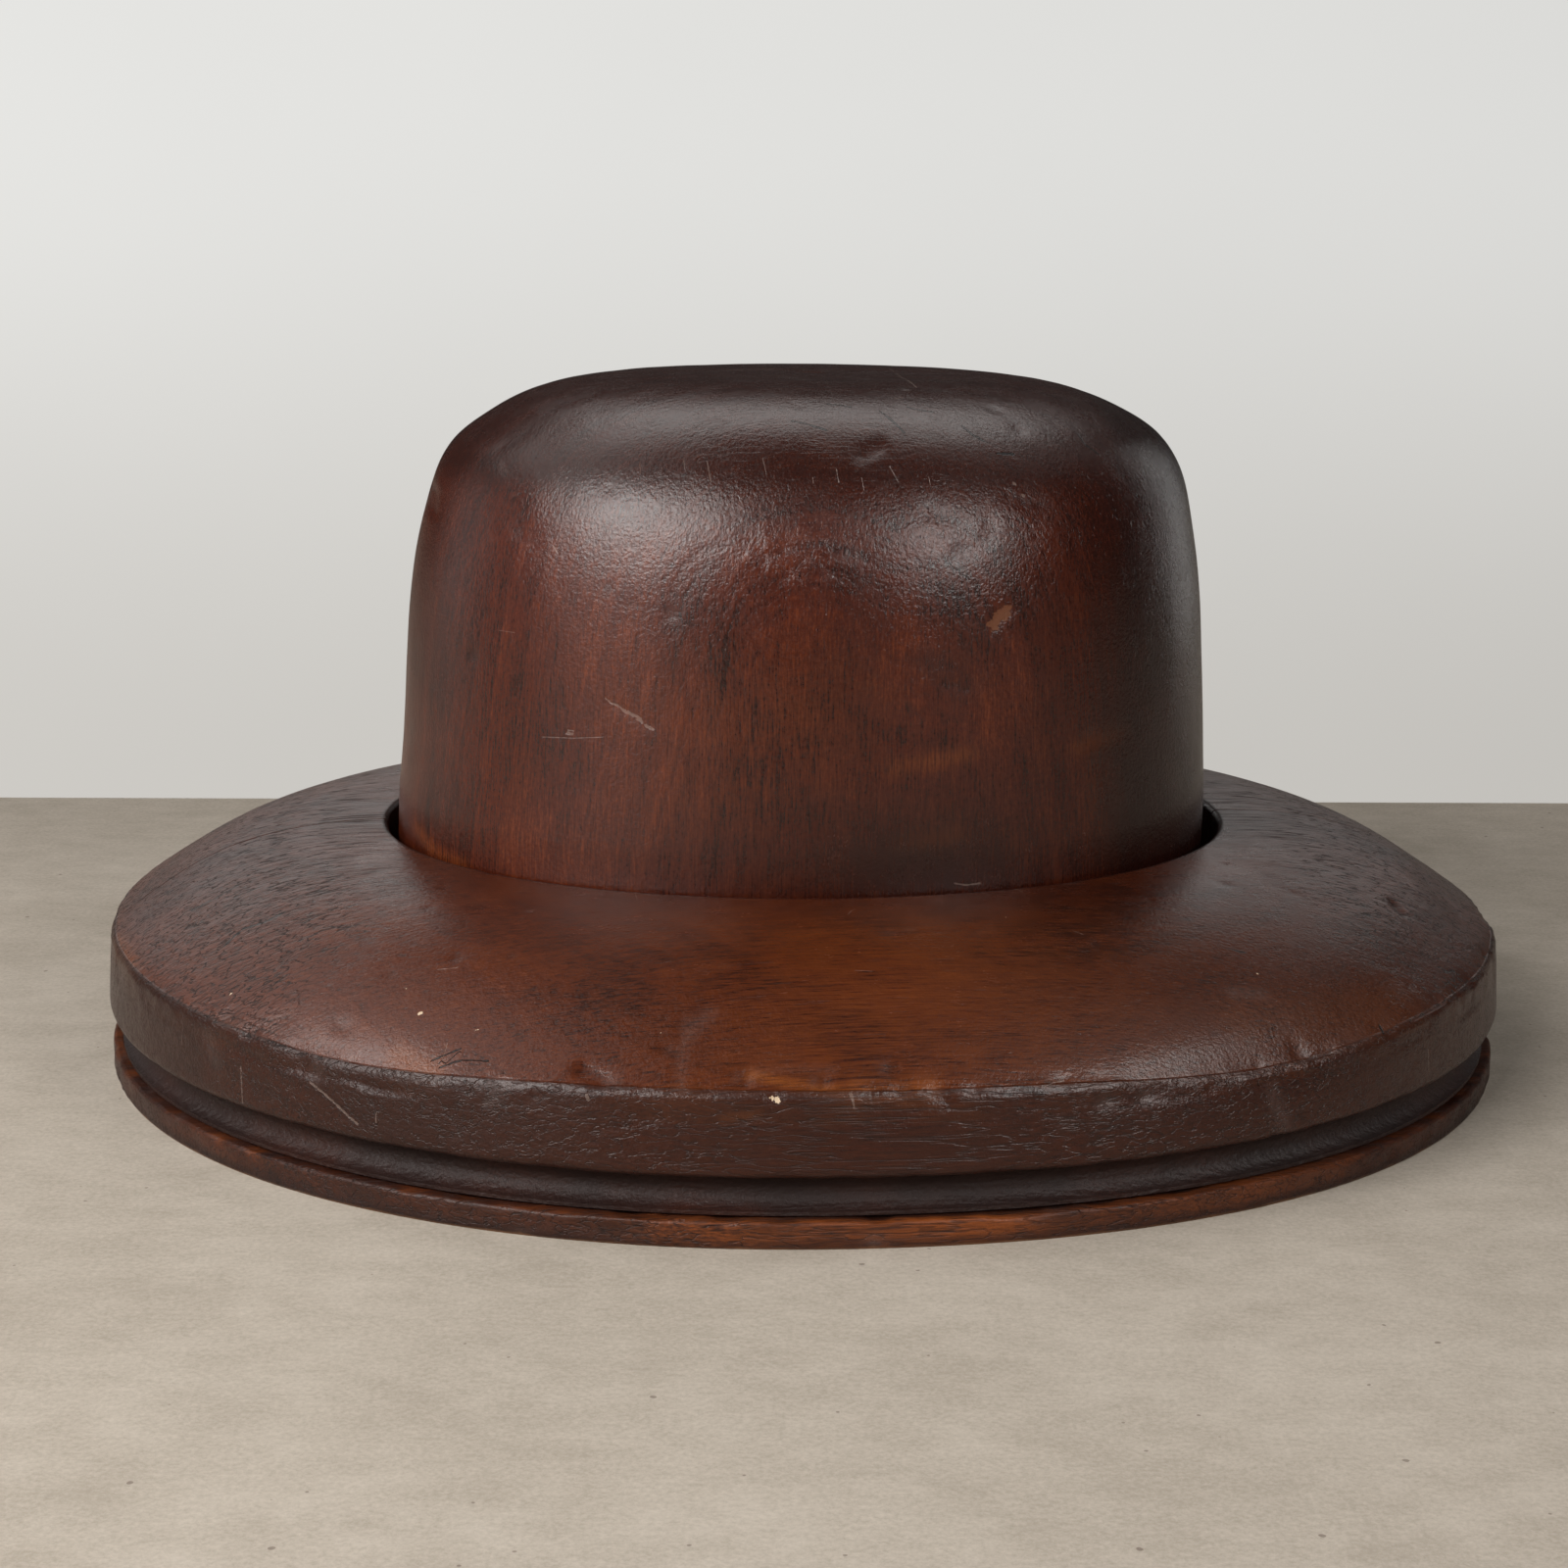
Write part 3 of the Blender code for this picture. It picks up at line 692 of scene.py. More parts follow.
def dress_crown(skin):
    x, y, z = skin.points.T
    relief, raw = skin.relief, skin.wear["raw"]
    noise, wear = skin.noise, skin.raise_wear
    nz = skin.normals[:, 2]
    outside = (z > CROWN_PLACE[2] + 1) & (np.hypot(x - CROWN_PLACE[0], y - CROWN_PLACE[1]) > 14)
    outside |= z > 120
    front = outside & (y < -18) & (z > 50)
    top = outside & (z > 140)
    level = unit((164 - z) / 12)
    relief -= outside * (0.05 + level * (0.22 + 0.22 * noise(45, 1, (1, 1, 1.4))))
    relief -= outside * 0.1 * np.maximum(noise(14, 2), 0)
    relief -= outside * 0.05 * noise(5, 3, (1, 1, 2))
    raw[~outside] = 1
    blotch = noise(26, 5, (1, 1, 1.8))
    wear("grime", outside, 0.45 * unit(blotch * 1.6 - 0.2))
    # Painted shade: the crown is darkened where it sinks into the hole, on its upward-facing
    # shoulders and top, on its right side and low on its front.
    painted_shade_in_hole = unit((56 - z) / 6)
    painted_shade = 0.95 * unit((nz - 0.24) / 0.26)
    painted_shade = np.maximum(painted_shade, 1.1 * unit((x - 44) / 24) * (y < 20))
    low = np.exp(-(((x - 12) / 46) ** 2) - (((z - 62) / 19) ** 2))
    painted_shade = np.maximum(painted_shade, 1.05 * low * (y < 0))
    wear("grime", outside, np.maximum(0.8 * painted_shade_in_hole, painted_shade)[outside])
    warm = bell(x, -22, 26) * unit((118 - z) / 20) * (y < 0)
    warm *= unit((z - 64) / 12)
    wear("rub", outside, 0.14 * warm)
    draw_marks(skin, XZ, front, CROWN_FRONT_MARKS)
    draw_marks(skin, XY, top, CROWN_TOP_MARKS)
    draw_marks(skin, XZ, outside & (x < -85) & (y < 0), CROWN_EDGE_MARKS)
    wear("check", outside, 0.22 * unit((z - 138) / 16))
    rear = outside & (y > 0) & (z > 45)
    scatter(skin, rear, 26, 11, 1, 3.2, 0.45)
    scatter(skin, outside & (z > 50), 30, 12, 0.7, 2, 0.3)
    scratches(skin, rear, 16, 13, 9, 0.3)
    scratches(skin, top, 6, 14, 8, 0.14)


def dress_brim(skin, insets, side):
    x, y, z = skin.points.T
    relief, raw = skin.relief, skin.wear["raw"]
    noise, wear = skin.noise, skin.raise_wear
    nz = skin.normals[:, 2]
    top = (nz > 0.25) & (insets > 1.6) & (z > 30)
    wall = (insets < 2.2) & (z > 14.9) & (z < 34.5)
    groove = (z < 15.1) & (insets < 9)
    hole = insets > BRIM_BREADTH - 2
    shown = top | wall | groove
    raw[~shown] = 1
    raw[hole] = unit((44 - z[hole]) / 14)
    # Painted shade: the wall of the hole is made fully dark.
    wear("grime", hole, 1)
    relief -= shown * (0.08 + 0.08 * noise(50, 21 + side, (1.6, 1, 1)))
    bevel = unit((np.abs(x) - 95) / 40) * bell(insets, 11, 9)
    relief -= top * np.where(x < 0, 0.45, 0.65) * bevel
    relief -= shown * 0.05 * noise(7, 23 + side, (3, 1, 1))
    crease = bell(insets, 1.4, 2.4) * (z > 27)
    relief -= crease * 0.5 * unit(noise(12, 25 + side) * 1.5)
    relief -= crease * 0.22 * unit(noise(3, 27 + side, (2, 1, 1)) * 1.5)
    leaning = unit((z - 21) / 10) ** 1.5 * (y < -60)
    leaning *= np.exp(-((np.maximum(insets - 1.5, 0) / 4) ** 2))
    relief -= leaning * 1.3 * bell(x, 74, 30)
    worn = crease * unit(0.3 + noise(11, 29 + side))
    wear("rub", shown, 0.4 * worn)
    foot = bell(z, 15.6, 1.5) * wall
    relief -= foot * 0.25 * unit(noise(5, 31 + side))
    # Painted shade: the groove under the brim's wall is darkened.
    wear("grime", groove, 0.85)
    blotch = noise(34, 33 + side, (2.2, 1, 1))
    wear("grime", shown, 0.4 * unit(blotch * 1.5 - 0.2))
    ends = unit((np.abs(x) - 84) / 45) * np.clip((y + 125) / 40, 0.2, 1)
    wear("check", shown, top * ends + wall * 0.45)
    # The brim's wall is made darker, more so towards the left.
    darker_wall = 0.82 + 0.2 * unit((-x - 40) / 60)
    wear("grime", wall, darker_wall[wall])
    # Painted shade: the groove is darkened further.
    wear("grime", groove, 1.25)
    # The tops at the brim's ends are paled: partly faded wood, partly a painted sheen.
    wear("pale", shown, 0.22 * top * ends)
    wear("matte", groove, np.clip((z - 9.4) / 2.4, 0.75, 1.1)[groove])
    wear("ripple", groove, 0.9)
    wear("ripple", wall, 0.35)
    orange = bell(x, 25, 85) * unit((-y - 85) / 25)
    wear("rub", shown, 0.27 * top * orange)
    # Painted shade: the front of the brim's top is darkened towards the right.
    painted_shade_front_right = unit((x - 4) / 60) * unit((-y - 45) / 45)
    wear("grime", shown, 0.55 * top * painted_shade_front_right)
    # Painted shade: the top is darkened along the edge of the hole round the crown.
    rim = unit((insets - 69) / 2.5) * top
    wear("grime", shown, 0.6 * rim)
    scatter(skin, top, 40 if side < 0 else 34, 41 + side, 0.8, 2.6, 0.35)
    scatter(skin, wall, 26, 43 + side, 0.7, 2, 0.35)
    scatter(skin, crease > 0.5, 34, 45 + side, 0.8, 2.6, 0.6)
    scratches(skin, top, 16, 47 + side, 6, 0.16)
    scratches(skin, wall, 10, 49 + side, 4, 0.16)
    if side > 0:
        return
    draw_marks(skin, XY, top, BRIM_TOP_MARKS)
    draw_marks(skin, XY, top | (wall & (z > 30)), BRIM_EDGE_MARKS)
    draw_marks(skin, XZ, wall & (y < 0), WALL_MARKS)


def dress_base(skin):
    x, y, z = skin.points.T
    relief, raw = skin.relief, skin.wear["raw"]
    noise, wear = skin.noise, skin.raise_wear
    reach = np.hypot(x / BRIM_HALF_LENGTH, y / BRIM_HALF_WIDTH)
    lip = (reach > 0.955) & (z > 0.2)
    relief -= lip * (0.12 + 0.12 * noise(30, 61))
    relief -= lip * 0.35 * unit(noise(6, 62) * 1.4 - 0.2)
    relief -= lip * 0.25 * unit(noise(2.2, 63))
    upper = bell(z, 5.8, 1.1) * lip
    nicked = unit(noise(4, 67, (1.6, 1, 1)) * 2.2 - 0.3)
    relief -= upper * 0.5 * nicked
    wear("rub", lip, 0.55 * upper * nicked * (y < 0))
    hidden = (reach < 0.93) & (z > BASE_THICKNESS - 0.5)
    # Painted shade: the ring of the base's top just inside the lip, under the groove, is darkened.
    wear("grime", ~hidden, 1 * (reach < 0.985) * (z > 5.5))
    raw[hidden] = 1
    raw[~lip & (z < 0.2)] = 0.6
    bright = np.exp(-(((x + 12) / 42) ** 4)) + 0.45 * bell(x, 60, 45)
    bright *= unit((-y - 90) / 20)
    bright *= unit(0.9 + 0.55 * noise(9, 64, (2, 1, 0.6)))
    wear("rub", lip, 1.15 * bright)
    draw_marks(skin, XZ, lip & (y < 0), LIP_MARKS)
    patchy = unit(noise(12, 65, (1, 1, 0.7)) * 1.6 - 0.1)
    wear("grime", lip, 0.6 * patchy)
    wear("check", lip, 0.5)
    # The lip is made darker towards its bottom.
    wear("grime", lip, np.clip((2.9 - z) / 1.6, 0, 0.9)[lip])
    scatter(skin, lip, 70, 66, 0.7, 2.2, 0.5)


class Shader:
    """Short names for building the node tree of a material or world."""

    def __init__(self, owner, blank=False):
        owner.use_nodes = True
        self.tree = owner.node_tree
        if blank:
            self.tree.nodes.clear()

    def put(self, socket, value):
        if isinstance(value, bpy.types.NodeSocket):
            self.tree.links.new(value, socket)
        else:
            socket.default_value = value

    def set(self, name, value):
        self.put(self.tree.nodes["Principled BSDF"].inputs[name], value)

    def node(self, kind, inputs=None, **settings):
        """Add a node and give back its outputs."""
        item = self.tree.nodes.new("ShaderNode" + kind)
        for key, value in settings.items():
            setattr(item, key, value)
        for key, value in (inputs or {}).items():
            self.put(item.inputs[key], value)
        return item.outputs

    def math(self, operation, first, second=0, third=0, clamp=False):
        inputs = {0: first, 1: second, 2: third}
        return self.node("Math", inputs, operation=operation, use_clamp=clamp)[0]

    def times(self, first, second):
        return self.math("MULTIPLY", first, second)

    def weigh(self, fields, shares, total=0, clamp=False):
        """Add fields to a total, each by its share."""
        for name, share in shares.items():
            total = self.math("MULTIPLY_ADD", fields[name], share, total, clamp)
        return total

    def vector(self, operation, first, second, output="Vector"):
        return self.node("VectorMath", {0: first, 1: second}, operation=operation)[output]

    def mix(self, factor, first, second):
        return self.node("Mix", {0: factor, 6: first, 7: second}, data_type="RGBA")[2]

    def ramp(self, value, low, high, start=0, end=1):
        names = ("Value", "From Min", "From Max", "To Min", "To Max")
        inputs = dict(zip(names, (value, low, high, start, end)))
        return self.node("MapRange", inputs, interpolation_type="SMOOTHSTEP")[0]

    def valley(self, value, low, high, start=0, end=1):
        """A ramp of the distance from the middle level of a noise."""
        away = self.math("ABSOLUTE", self.math("SUBTRACT", value, 0.5))
        return self.ramp(away, low, high, start, end)

    def stretch(self, vector, scale, shift=(0, 0, 0)):
        return self.node("Mapping", {"Vector": vector, "Scale": scale, "Location": shift})[0]

    def noise(self, vector, scale, detail=2, roughness=0.5):
        names = ("Vector", "Scale", "Detail", "Roughness")
        return self.node("TexNoise", dict(zip(names, (vector, scale, detail, roughness))))["Fac"]

    def place(self):
        """Object coordinates in millimetres."""
        place = self.node("TexCoord")["Object"]
        return self.node("VectorMath", {0: place, "Scale": 1 / MM}, operation="SCALE")[0]

    def line(self, name, ragged):
        """One where a fine line runs, from its offset and width."""
        vector = self.node("Attribute", attribute_name=name)["Vector"]
        parts = self.node("SeparateXYZ", {0: vector})
        squares = self.math("ADD", self.times(parts[0], parts[0]), self.times(parts[1], parts[1]))
        away = self.math("SQRT", squares)
        return self.ramp(self.math("SUBTRACT", self.times(parts[2], ragged), away), -0.06, 0.06)

    def bump(self, height):
        inputs = {"Height": height, "Distance": MM, "Strength": 1}
        self.set("Normal", self.node("Bump", inputs)[0])


def colour(red, green, blue):
    return (red, green, blue, 1)


# How wood stretches along its grain, by the axis of the grain
SPECK_SCALES = {"X": (0.22, 1, 1), "Y": (1, 0.22, 1), "Z": (1, 1, 0.55)}
GRAIN_SCALES = {"X": (0.045, 1, 1), "Y": (1, 0.045, 1), "Z": (1, 1, 0.045)}
RING_AXES = {"X": (0, 1, 1), "Y": (1, 0, 1), "Z": (1, 1, 0)}
RING_TILT = (0.05, 0.02, 0.12)
RING_WARP = 13
# Noises of the wood: the space that each is drawn in, then scale, detail and roughness
WOOD_NOISES = {
    "bands": ("ring", 0.32, 2, 0.6),
    "broad": ("ring", 0.07, 1),
    "lines": ("ring", 1.1, 2, 0.6),
    "fibre": ("along", 2.3, 3, 0.65),
    "streak": ("along", 0.34, 3, 0.6),
    "wave": ("along", 0.55),
    "speck": ("specks", 1.7, 3, 0.7),
    "pore": ("pores", 1.9, 1),
    "furrow": ("furrows", 0.62, 2, 0.45),
    "split": ("splits", 0.75, 2, 0.4),
    "blotch": ("place", 0.028, 3, 0.6),
    "patchy": ("place", 0.11),
    "sheen": ("place", 0.12, 3),
    "swell": ("place", 0.3),
    "pebble": ("place", 0.75, 3, 0.6),
    "chip": ("place", 0.8, 3, 0.7),
    "ragged": ("place", 0.9),
    "fine": ("place", 1.1, 3, 0.62),
}
TONE_SHARES = {
    "fibre": 0.44, "bands": 0.22, "streak": 0.13, "blotch": 0.34, "broad": 0.22, "lines": 0.2,
    "speck": 0.34,
}
DARK_SHARES = {"checked": 0.85, "pores": 0.3, "trench": 0.85}
ROUGH_SHARES = {
    "sheen": 0.14, "speck": 0.1, "grimy_and_shaded": 0.05, "trench": 0.45, "check": 0.07, "dry": 0.3,
}
LEATHER_SHARES = {"fine": 1, "speck": 0.25, "swell": 0.28}
HEIGHT_SHARES = {
    "fibre": 0.05, "lines": 0.04, "trench": -0.28, "weathered": 0.35, "lumps": 0.4, "hide": 0.35,
    "pores": -0.05, "checked": -0.1, "crack": -0.25, "scratch": -0.06,
}
ROUGH_OFFSET = -0.12
SOOT = colour(0.008, 0.003, 0.002)
CRACK = colour(0.004, 0.002, 0.0015)
SCRATCHED = colour(0.33, 0.24, 0.2)
# Pale tint for faded wood, also used for the painted sheen on the brim's ends.
FADED_AND_SHEEN = colour(0.3, 0.24, 0.22)
BARE_GRAIN = colour(0.25, 0.135, 0.065)


def wood_fields(shader, grain, checks, pith):
    """Noises, wear and fine lines of a piece of wood, by name."""
    place = shader.place()
    along = shader.stretch(place, GRAIN_SCALES[grain])
    beside = shader.stretch(place, GRAIN_SCALES[checks])
    across = shader.vector("MULTIPLY", shader.vector("SUBTRACT", place, pith), RING_AXES[grain])
    reach = shader.vector("LENGTH", across, (0, 0, 0), "Value")
    ring = shader.math("ADD", reach, shader.vector("DOT_PRODUCT", place, RING_TILT, "Value"))
    ring = shader.math("MULTIPLY_ADD", shader.noise(along, 0.025), RING_WARP, ring)
    spaces = {
        "place": place,
        "along": along,
        "ring": shader.node("CombineXYZ", {0: ring})[0],
        "specks": shader.stretch(place, SPECK_SCALES[grain]),
        "pores": shader.stretch(along, (1, 1, 1), (7, 3, 9)),
        "furrows": shader.stretch(beside, (0.4, 1, 0.8), (12, 5, 19)),
        "splits": shader.stretch(beside, (0.8, 0.8, 0.8), (31, 17, 5)),
    }
    field = {
        name: shader.noise(spaces[space], *shape) for name, (space, *shape) in WOOD_NOISES.items()
    }
    for name in Skin.WEAR_AND_PAINTED_LIGHT:
        field[name] = shader.node("Attribute", attribute_name=name)["Fac"]
    ragged = shader.ramp(field["ragged"], 0.25, 0.75, 0.45, 1.45)
    for name in Skin.LINES:
        field[name] = shader.line(name, ragged)
    return field


def wood(name, grain, checks, pith, colours, gloss, leather, ior=1.42):
    """Stained and waxed wood whose growth rings lie round a pith line along its grain."""
    material = bpy.data.materials.new(name)
    shader = Shader(material)
    dark, middle, light, orange, bare, raw = (colour(*levels) for levels in colours)
    field = wood_fields(shader, grain, checks, pith)
    times, ramp = shader.times, shader.ramp
    blotch, check = field["blotch"], field["check"]

    tone = shader.weigh(field, TONE_SHARES)
    broken = shader.math("MULTIPLY_ADD", field["fibre"], 0.7, times(blotch, 0.5))
    # Grime here darkens for real dirt and also as painted shade.
    field["grimy_and_shaded"] = times(field["grime"], ramp(blotch, 0.2, 0.6, 0.55, 1))
    field["pores"] = ramp(field["pore"], 0.7, 0.76)
    gap = shader.valley(field["split"], 0.01, 0.03, 1, 0)
    field["checked"] = times(times(gap, ramp(field["patchy"], 0.47, 0.56)), check)
    lined = shader.valley(field["furrow"], 0.003, 0.03, 1, 0)
    field["trench"] = times(lined, ramp(check, 0.25, 0.8))
    pale = times(field["pale"], ramp(field["fine"], 0.3, 0.7, 0.35, 1))
    edge = shader.math("MULTIPLY_ADD", field["chip"], 1.3, -0.65)
    chipped = ramp(shader.math("ADD", field["bare"], edge), 0.5, 0.56)
    base = dark
    for strength, shade in (
        (ramp(tone, 0.76, 0.98), middle),
        (ramp(tone, 0.94, 1.2), light),
        (times(field["rub"], ramp(broken, 0.38, 0.72)), orange),
        (times(field["grimy_and_shaded"], 0.8), dark),
        (shader.weigh(field, DARK_SHARES, clamp=True), SOOT),
        # The pale mix gives faded wood and, on the brim's ends, a painted sheen.
        (times(pale, 0.2), FADED_AND_SHEEN),
        (field["raw"], shader.mix(ramp(tone, 0.7, 1.1), raw, BARE_GRAIN)),
        (chipped, bare),
        (field["crack"], CRACK),
        (times(field["scratch"], 0.3), SCRATCHED),
    ):
        base = shader.mix(strength, base, shade)
    shader.set("Base Color", base)

    dry = shader.math("MAXIMUM", chipped, field["raw"])
    dry = shader.math("MAXIMUM", dry, times(pale, 0.25))
    field["dry"] = shader.math("MAXIMUM", dry, times(field["matte"], 1.3))
    rough = shader.weigh(field, ROUGH_SHARES, gloss + ROUGH_OFFSET, clamp=True)
    shader.set("Roughness", rough)

    field["weathered"] = times(field["streak"], check)
    field["lumps"] = times(field["wave"], field["ripple"])
    field["hide"] = times(field["pebble"], field["ripple"])
    height = times(shader.weigh(field, LEATHER_SHARES), leather)
    shader.bump(shader.weigh(field, HEIGHT_SHARES, height))
    shader.set("IOR", ior)
    return material


def steel(name):
    """Old screw steel, dull and rusty."""
    material = bpy.data.materials.new(name)
    shader = Shader(material)
    place = shader.place()
    rust = shader.ramp(shader.noise(place, 0.7, 4, 0.6), 0.45, 0.62)
    shader.set("Base Color", shader.mix(rust, colour(0.23, 0.21, 0.19), colour(0.13, 0.045, 0.018)))
    shader.set("Metallic", shader.ramp(rust, 0, 1, 0.95, 0.1))
    shader.set("Roughness", shader.ramp(rust, 0, 1, 0.42, 0.85))
    shader.bump(shader.times(shader.noise(place, 3, 3), 0.06))
    return material


def add_object(name, data):
    item = bpy.data.objects.new(name, data)
    bpy.context.collection.objects.link(item)
    return item


def soften(mesh):
    mesh.shade_smooth()
    mesh.set_sharp_from_angle(angle=SHARP_ANGLE)


def place_skin(name, skin, build, material, slot, body, *nodes):
    """A dressed skin as a piece, from the builder that closes its rows."""
    mesh = build(name, skin.rows())
    store_wear(mesh, skin)
    mesh.materials.append(material)
    soften(mesh)
    piece = add_object(name, mesh)
    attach(piece, body)
    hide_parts(*nodes)
    return piece


def turned_rows(profile, columns):
    angle = np.linspace(0, 2 * math.pi, columns, endpoint=False)
    return np.array([
        level_ring(radius * np.cos(angle), radius * np.sin(angle), z) for radius, z in profile
    ])


def closed_mesh(name, rows):
    """Rings skinned from the first to the last, with a fan over each end."""
    count, columns = rows.shape[:2]
    points = np.vstack((rows.reshape(-1, 3), rows[0].mean(axis=0), rows[-1].mean(axis=0)))
    first, last = count * columns, count * columns + 1
    ring = np.arange(columns)
    after = (ring + 1) % columns
    start = np.stack((np.full(columns, first), after, ring), axis=1)
    top = (count - 1) * columns
    end = np.stack((np.full(columns, last), ring + top, after + top), axis=1)
    return build_mesh(name, points, [grid_quads(count, columns, False, True), start, end])


def board_mesh(name, rows):
    """A board's loops skinned round, with a flat cap on each end at the seam."""
    count, columns = rows.shape[:2]
    index = np.arange(count * columns).reshape(count, columns)
    caps = np.stack((index[:, 0], index[::-1, -1]))
    return build_mesh(name, rows.reshape(-1, 3), [grid_quads(count, columns, True, False), caps])


def cut_holes(piece, cutters):
    """Drill with exact booleans and keep the result as the piece's own mesh."""
    for cutter in cutters:
        boolean = piece.modifiers.new("Hole", "BOOLEAN")
        boolean.operation = "DIFFERENCE"
        boolean.solver = "EXACT"
        boolean.object = cutter
    graph = bpy.context.evaluated_depsgraph_get()
    piece.data = bpy.data.meshes.new_from_object(piece.evaluated_get(graph))
    piece.modifiers.clear()
    for cutter in cutters:
        bpy.data.objects.remove(cutter, do_unlink=True)
    soften(piece.data)


def loose_object(name, mesh, place):
    mesh.transform(Matrix.Translation(Vector(place) * MM))
    return add_object(name, mesh)


def screw_places():
    half_length = BRIM_HALF_LENGTH - BRIM_BREADTH_ENDS / 2
    half_width = BRIM_HALF_WIDTH - BRIM_BREADTH_SIDES / 2
    for index in range(SCREW_COUNT):
        angle = 2 * math.pi * (index + 0.5) / SCREW_COUNT
        yield half_length * math.cos(angle), half_width * math.sin(angle), SCREW_RECESS


def screw_mesh(name):
    """Countersunk wood screw with a helical thread, head down."""
    head = SCREW_HEAD_RADIUS - 0.3
    root, crest = SCREW_SHANK_RADIUS - 0.75, SCREW_SHANK_RADIUS - 0.3
    profile = [(head * share, 0) for share in (0.25, 0.6, 0.9)]
    profile += [(head, 0.12), (head, 0.3), (crest, SCREW_HEAD_HEIGHT), (crest, 7)]
    threaded = np.arange(7.2, 19.2, 0.26)
    rows = turned_rows(profile + [(crest, z) for z in threaded], SCREW_COLUMNS)
    angle = np.linspace(0, 2 * math.pi, SCREW_COLUMNS, endpoint=False)
    for row, z in zip(rows[len(profile):], threaded):
        wave = np.abs(((angle / (2 * math.pi) - z / THREAD_PITCH) % 1) - 0.5) * 2
        point = np.clip((19.4 - z) / 5, 0.06, 1)
        radius = (root + (crest - root) * unit(wave * 2.2 - 1)) * point
        row[:, 0], row[:, 1] = radius * np.cos(angle), radius * np.sin(angle)
    return closed_mesh(name, rows)


def box_mesh(name, size, turn):
    data = bpy.data.meshes.new(name)
    mesh = bmesh.new()
    bmesh.ops.create_cube(mesh, size=MM)
    bmesh.ops.scale(mesh, vec=size, verts=mesh.verts[:])
    bmesh.ops.rotate(mesh, verts=mesh.verts[:], matrix=Matrix.Rotation(turn, 3, "Z"))
    mesh.to_mesh(data)
    mesh.free()
    return data


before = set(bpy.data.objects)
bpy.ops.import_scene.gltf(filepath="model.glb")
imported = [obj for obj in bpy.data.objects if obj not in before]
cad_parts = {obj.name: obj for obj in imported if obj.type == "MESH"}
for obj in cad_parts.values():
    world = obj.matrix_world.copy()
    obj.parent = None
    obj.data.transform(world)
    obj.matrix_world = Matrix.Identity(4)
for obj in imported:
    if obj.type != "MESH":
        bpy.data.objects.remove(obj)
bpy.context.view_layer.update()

# Each wood has six colours: dark, middle, light, orange where rubbed, bare and raw
crown_wood = wood(
    "crown_walnut_stain", "Z", "X", (14, -235, 0), (
        (0.0108, 0.0029, 0.0021), (0.063, 0.0114, 0.0046), (0.154, 0.031, 0.0082),
        (0.22, 0.054, 0.011), (0.125, 0.034, 0.006), (0.16, 0.075, 0.035),
    ), gloss=0.21, leather=0.145, ior=1.5,
)
brim_front_wood = wood(
    "brim_front_stain", "X", "X", (0, -70, -150), (
        (0.014, 0.0037, 0.0022), (0.069, 0.0138, 0.004), (0.124, 0.0285, 0.0062),
        (0.19, 0.052, 0.01), (0.62, 0.47, 0.32), (0.17, 0.08, 0.036),
    ), gloss=0.24, leather=0.14,
)
brim_rear_wood = wood(
    "brim_rear_stain", "X", "X", (0, 60, -170), (
        (0.018, 0.0048, 0.003), (0.084, 0.0185, 0.006), (0.14, 0.038, 0.011),
        (0.2, 0.06, 0.014), (0.6, 0.45, 0.3), (0.17, 0.08, 0.036),
    ), gloss=0.25, leather=0.14,
)
base_wood = wood(
    "base_stain", "X", "X", (0, -40, -60), (
        (0.012, 0.0036, 0.0025), (0.048, 0.012, 0.0048), (0.09, 0.024, 0.008),
        (0.22, 0.055, 0.01), (0.45, 0.22, 0.09), (0.13, 0.06, 0.028),
    ), gloss=0.38, leather=0.14,
)
dowel_wood = wood(
    "dowel_birch", "Y", "Y", (2, 0, 20), (
        (0.2, 0.1, 0.045), (0.36, 0.22, 0.11), (0.46, 0.3, 0.16),
        (0.4, 0.24, 0.12), (0.5, 0.33, 0.18), (0.36, 0.22, 0.11),
    ), gloss=0.68, leather=0.01, ior=1.5,
)
screw_steel = steel("aged_screw_steel")

crown_skin = Skin(crown_rows(CROWN_COLUMNS))
dress_crown(crown_skin)
place_skin(
    "crown_turned", crown_skin, closed_mesh, crown_wood, "crown_wood", "crown", "crown_block"
)

for side, columns, name, material in (
    (-1, FRONT_COLUMNS, "brim_front", brim_front_wood),
    (1, REAR_COLUMNS, "brim_rear", brim_rear_wood),
):
    rows, insets = brim_board_rows(side, columns)
    skin = Skin(rows)
    dress_brim(skin, insets, side)
    slot, node = f"{name}_wood", f"{name}_board"
    place_skin(f"{name}_dressed", skin, board_mesh, material, slot, "brim", node)

base_skin = Skin(base_rows(BASE_COLUMNS))
dress_base(base_skin)
base_piece = place_skin(
    "base_lipped", base_skin, closed_mesh, base_wood, "base_wood", "brim", "base_board"
)

wide = SPINDLE_RADIUS + SPINDLE_BASE_CLEARANCE
past_top = BASE_THICKNESS + 1
clearance = turned_rows([(wide, -1), (wide, past_top)], 64)
cutters = [loose_object("clearance", closed_mesh("clearance", clearance), (*CROWN_PLACE[:2], 0))]
screw_hole = turned_rows([
    (SCREW_HEAD_RADIUS, -1), (SCREW_HEAD_RADIUS, 0),
    (SCREW_SHANK_RADIUS, SCREW_HEAD_HEIGHT), (SCREW_SHANK_RADIUS, past_top),
], 40)
for number, place in enumerate(screw_places(), start=1):
    cutters.append(loose_object(f"hole_{number}", closed_mesh("hole", screw_hole), place))
    screw = loose_object(f"turned_screw_{number}", screw_mesh(f"turned_screw_{number}"), place)
    slot = loose_object("slot", box_mesh("slot", SLOT_SIZE, SLOT_TURN * number), place)
    cut_holes(screw, [slot])
    screw.data.materials.clear()
    screw.data.materials.append(screw_steel)
    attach(screw, "brim")
    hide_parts(f"base_screw_{number}")
cut_holes(base_piece, cutters)

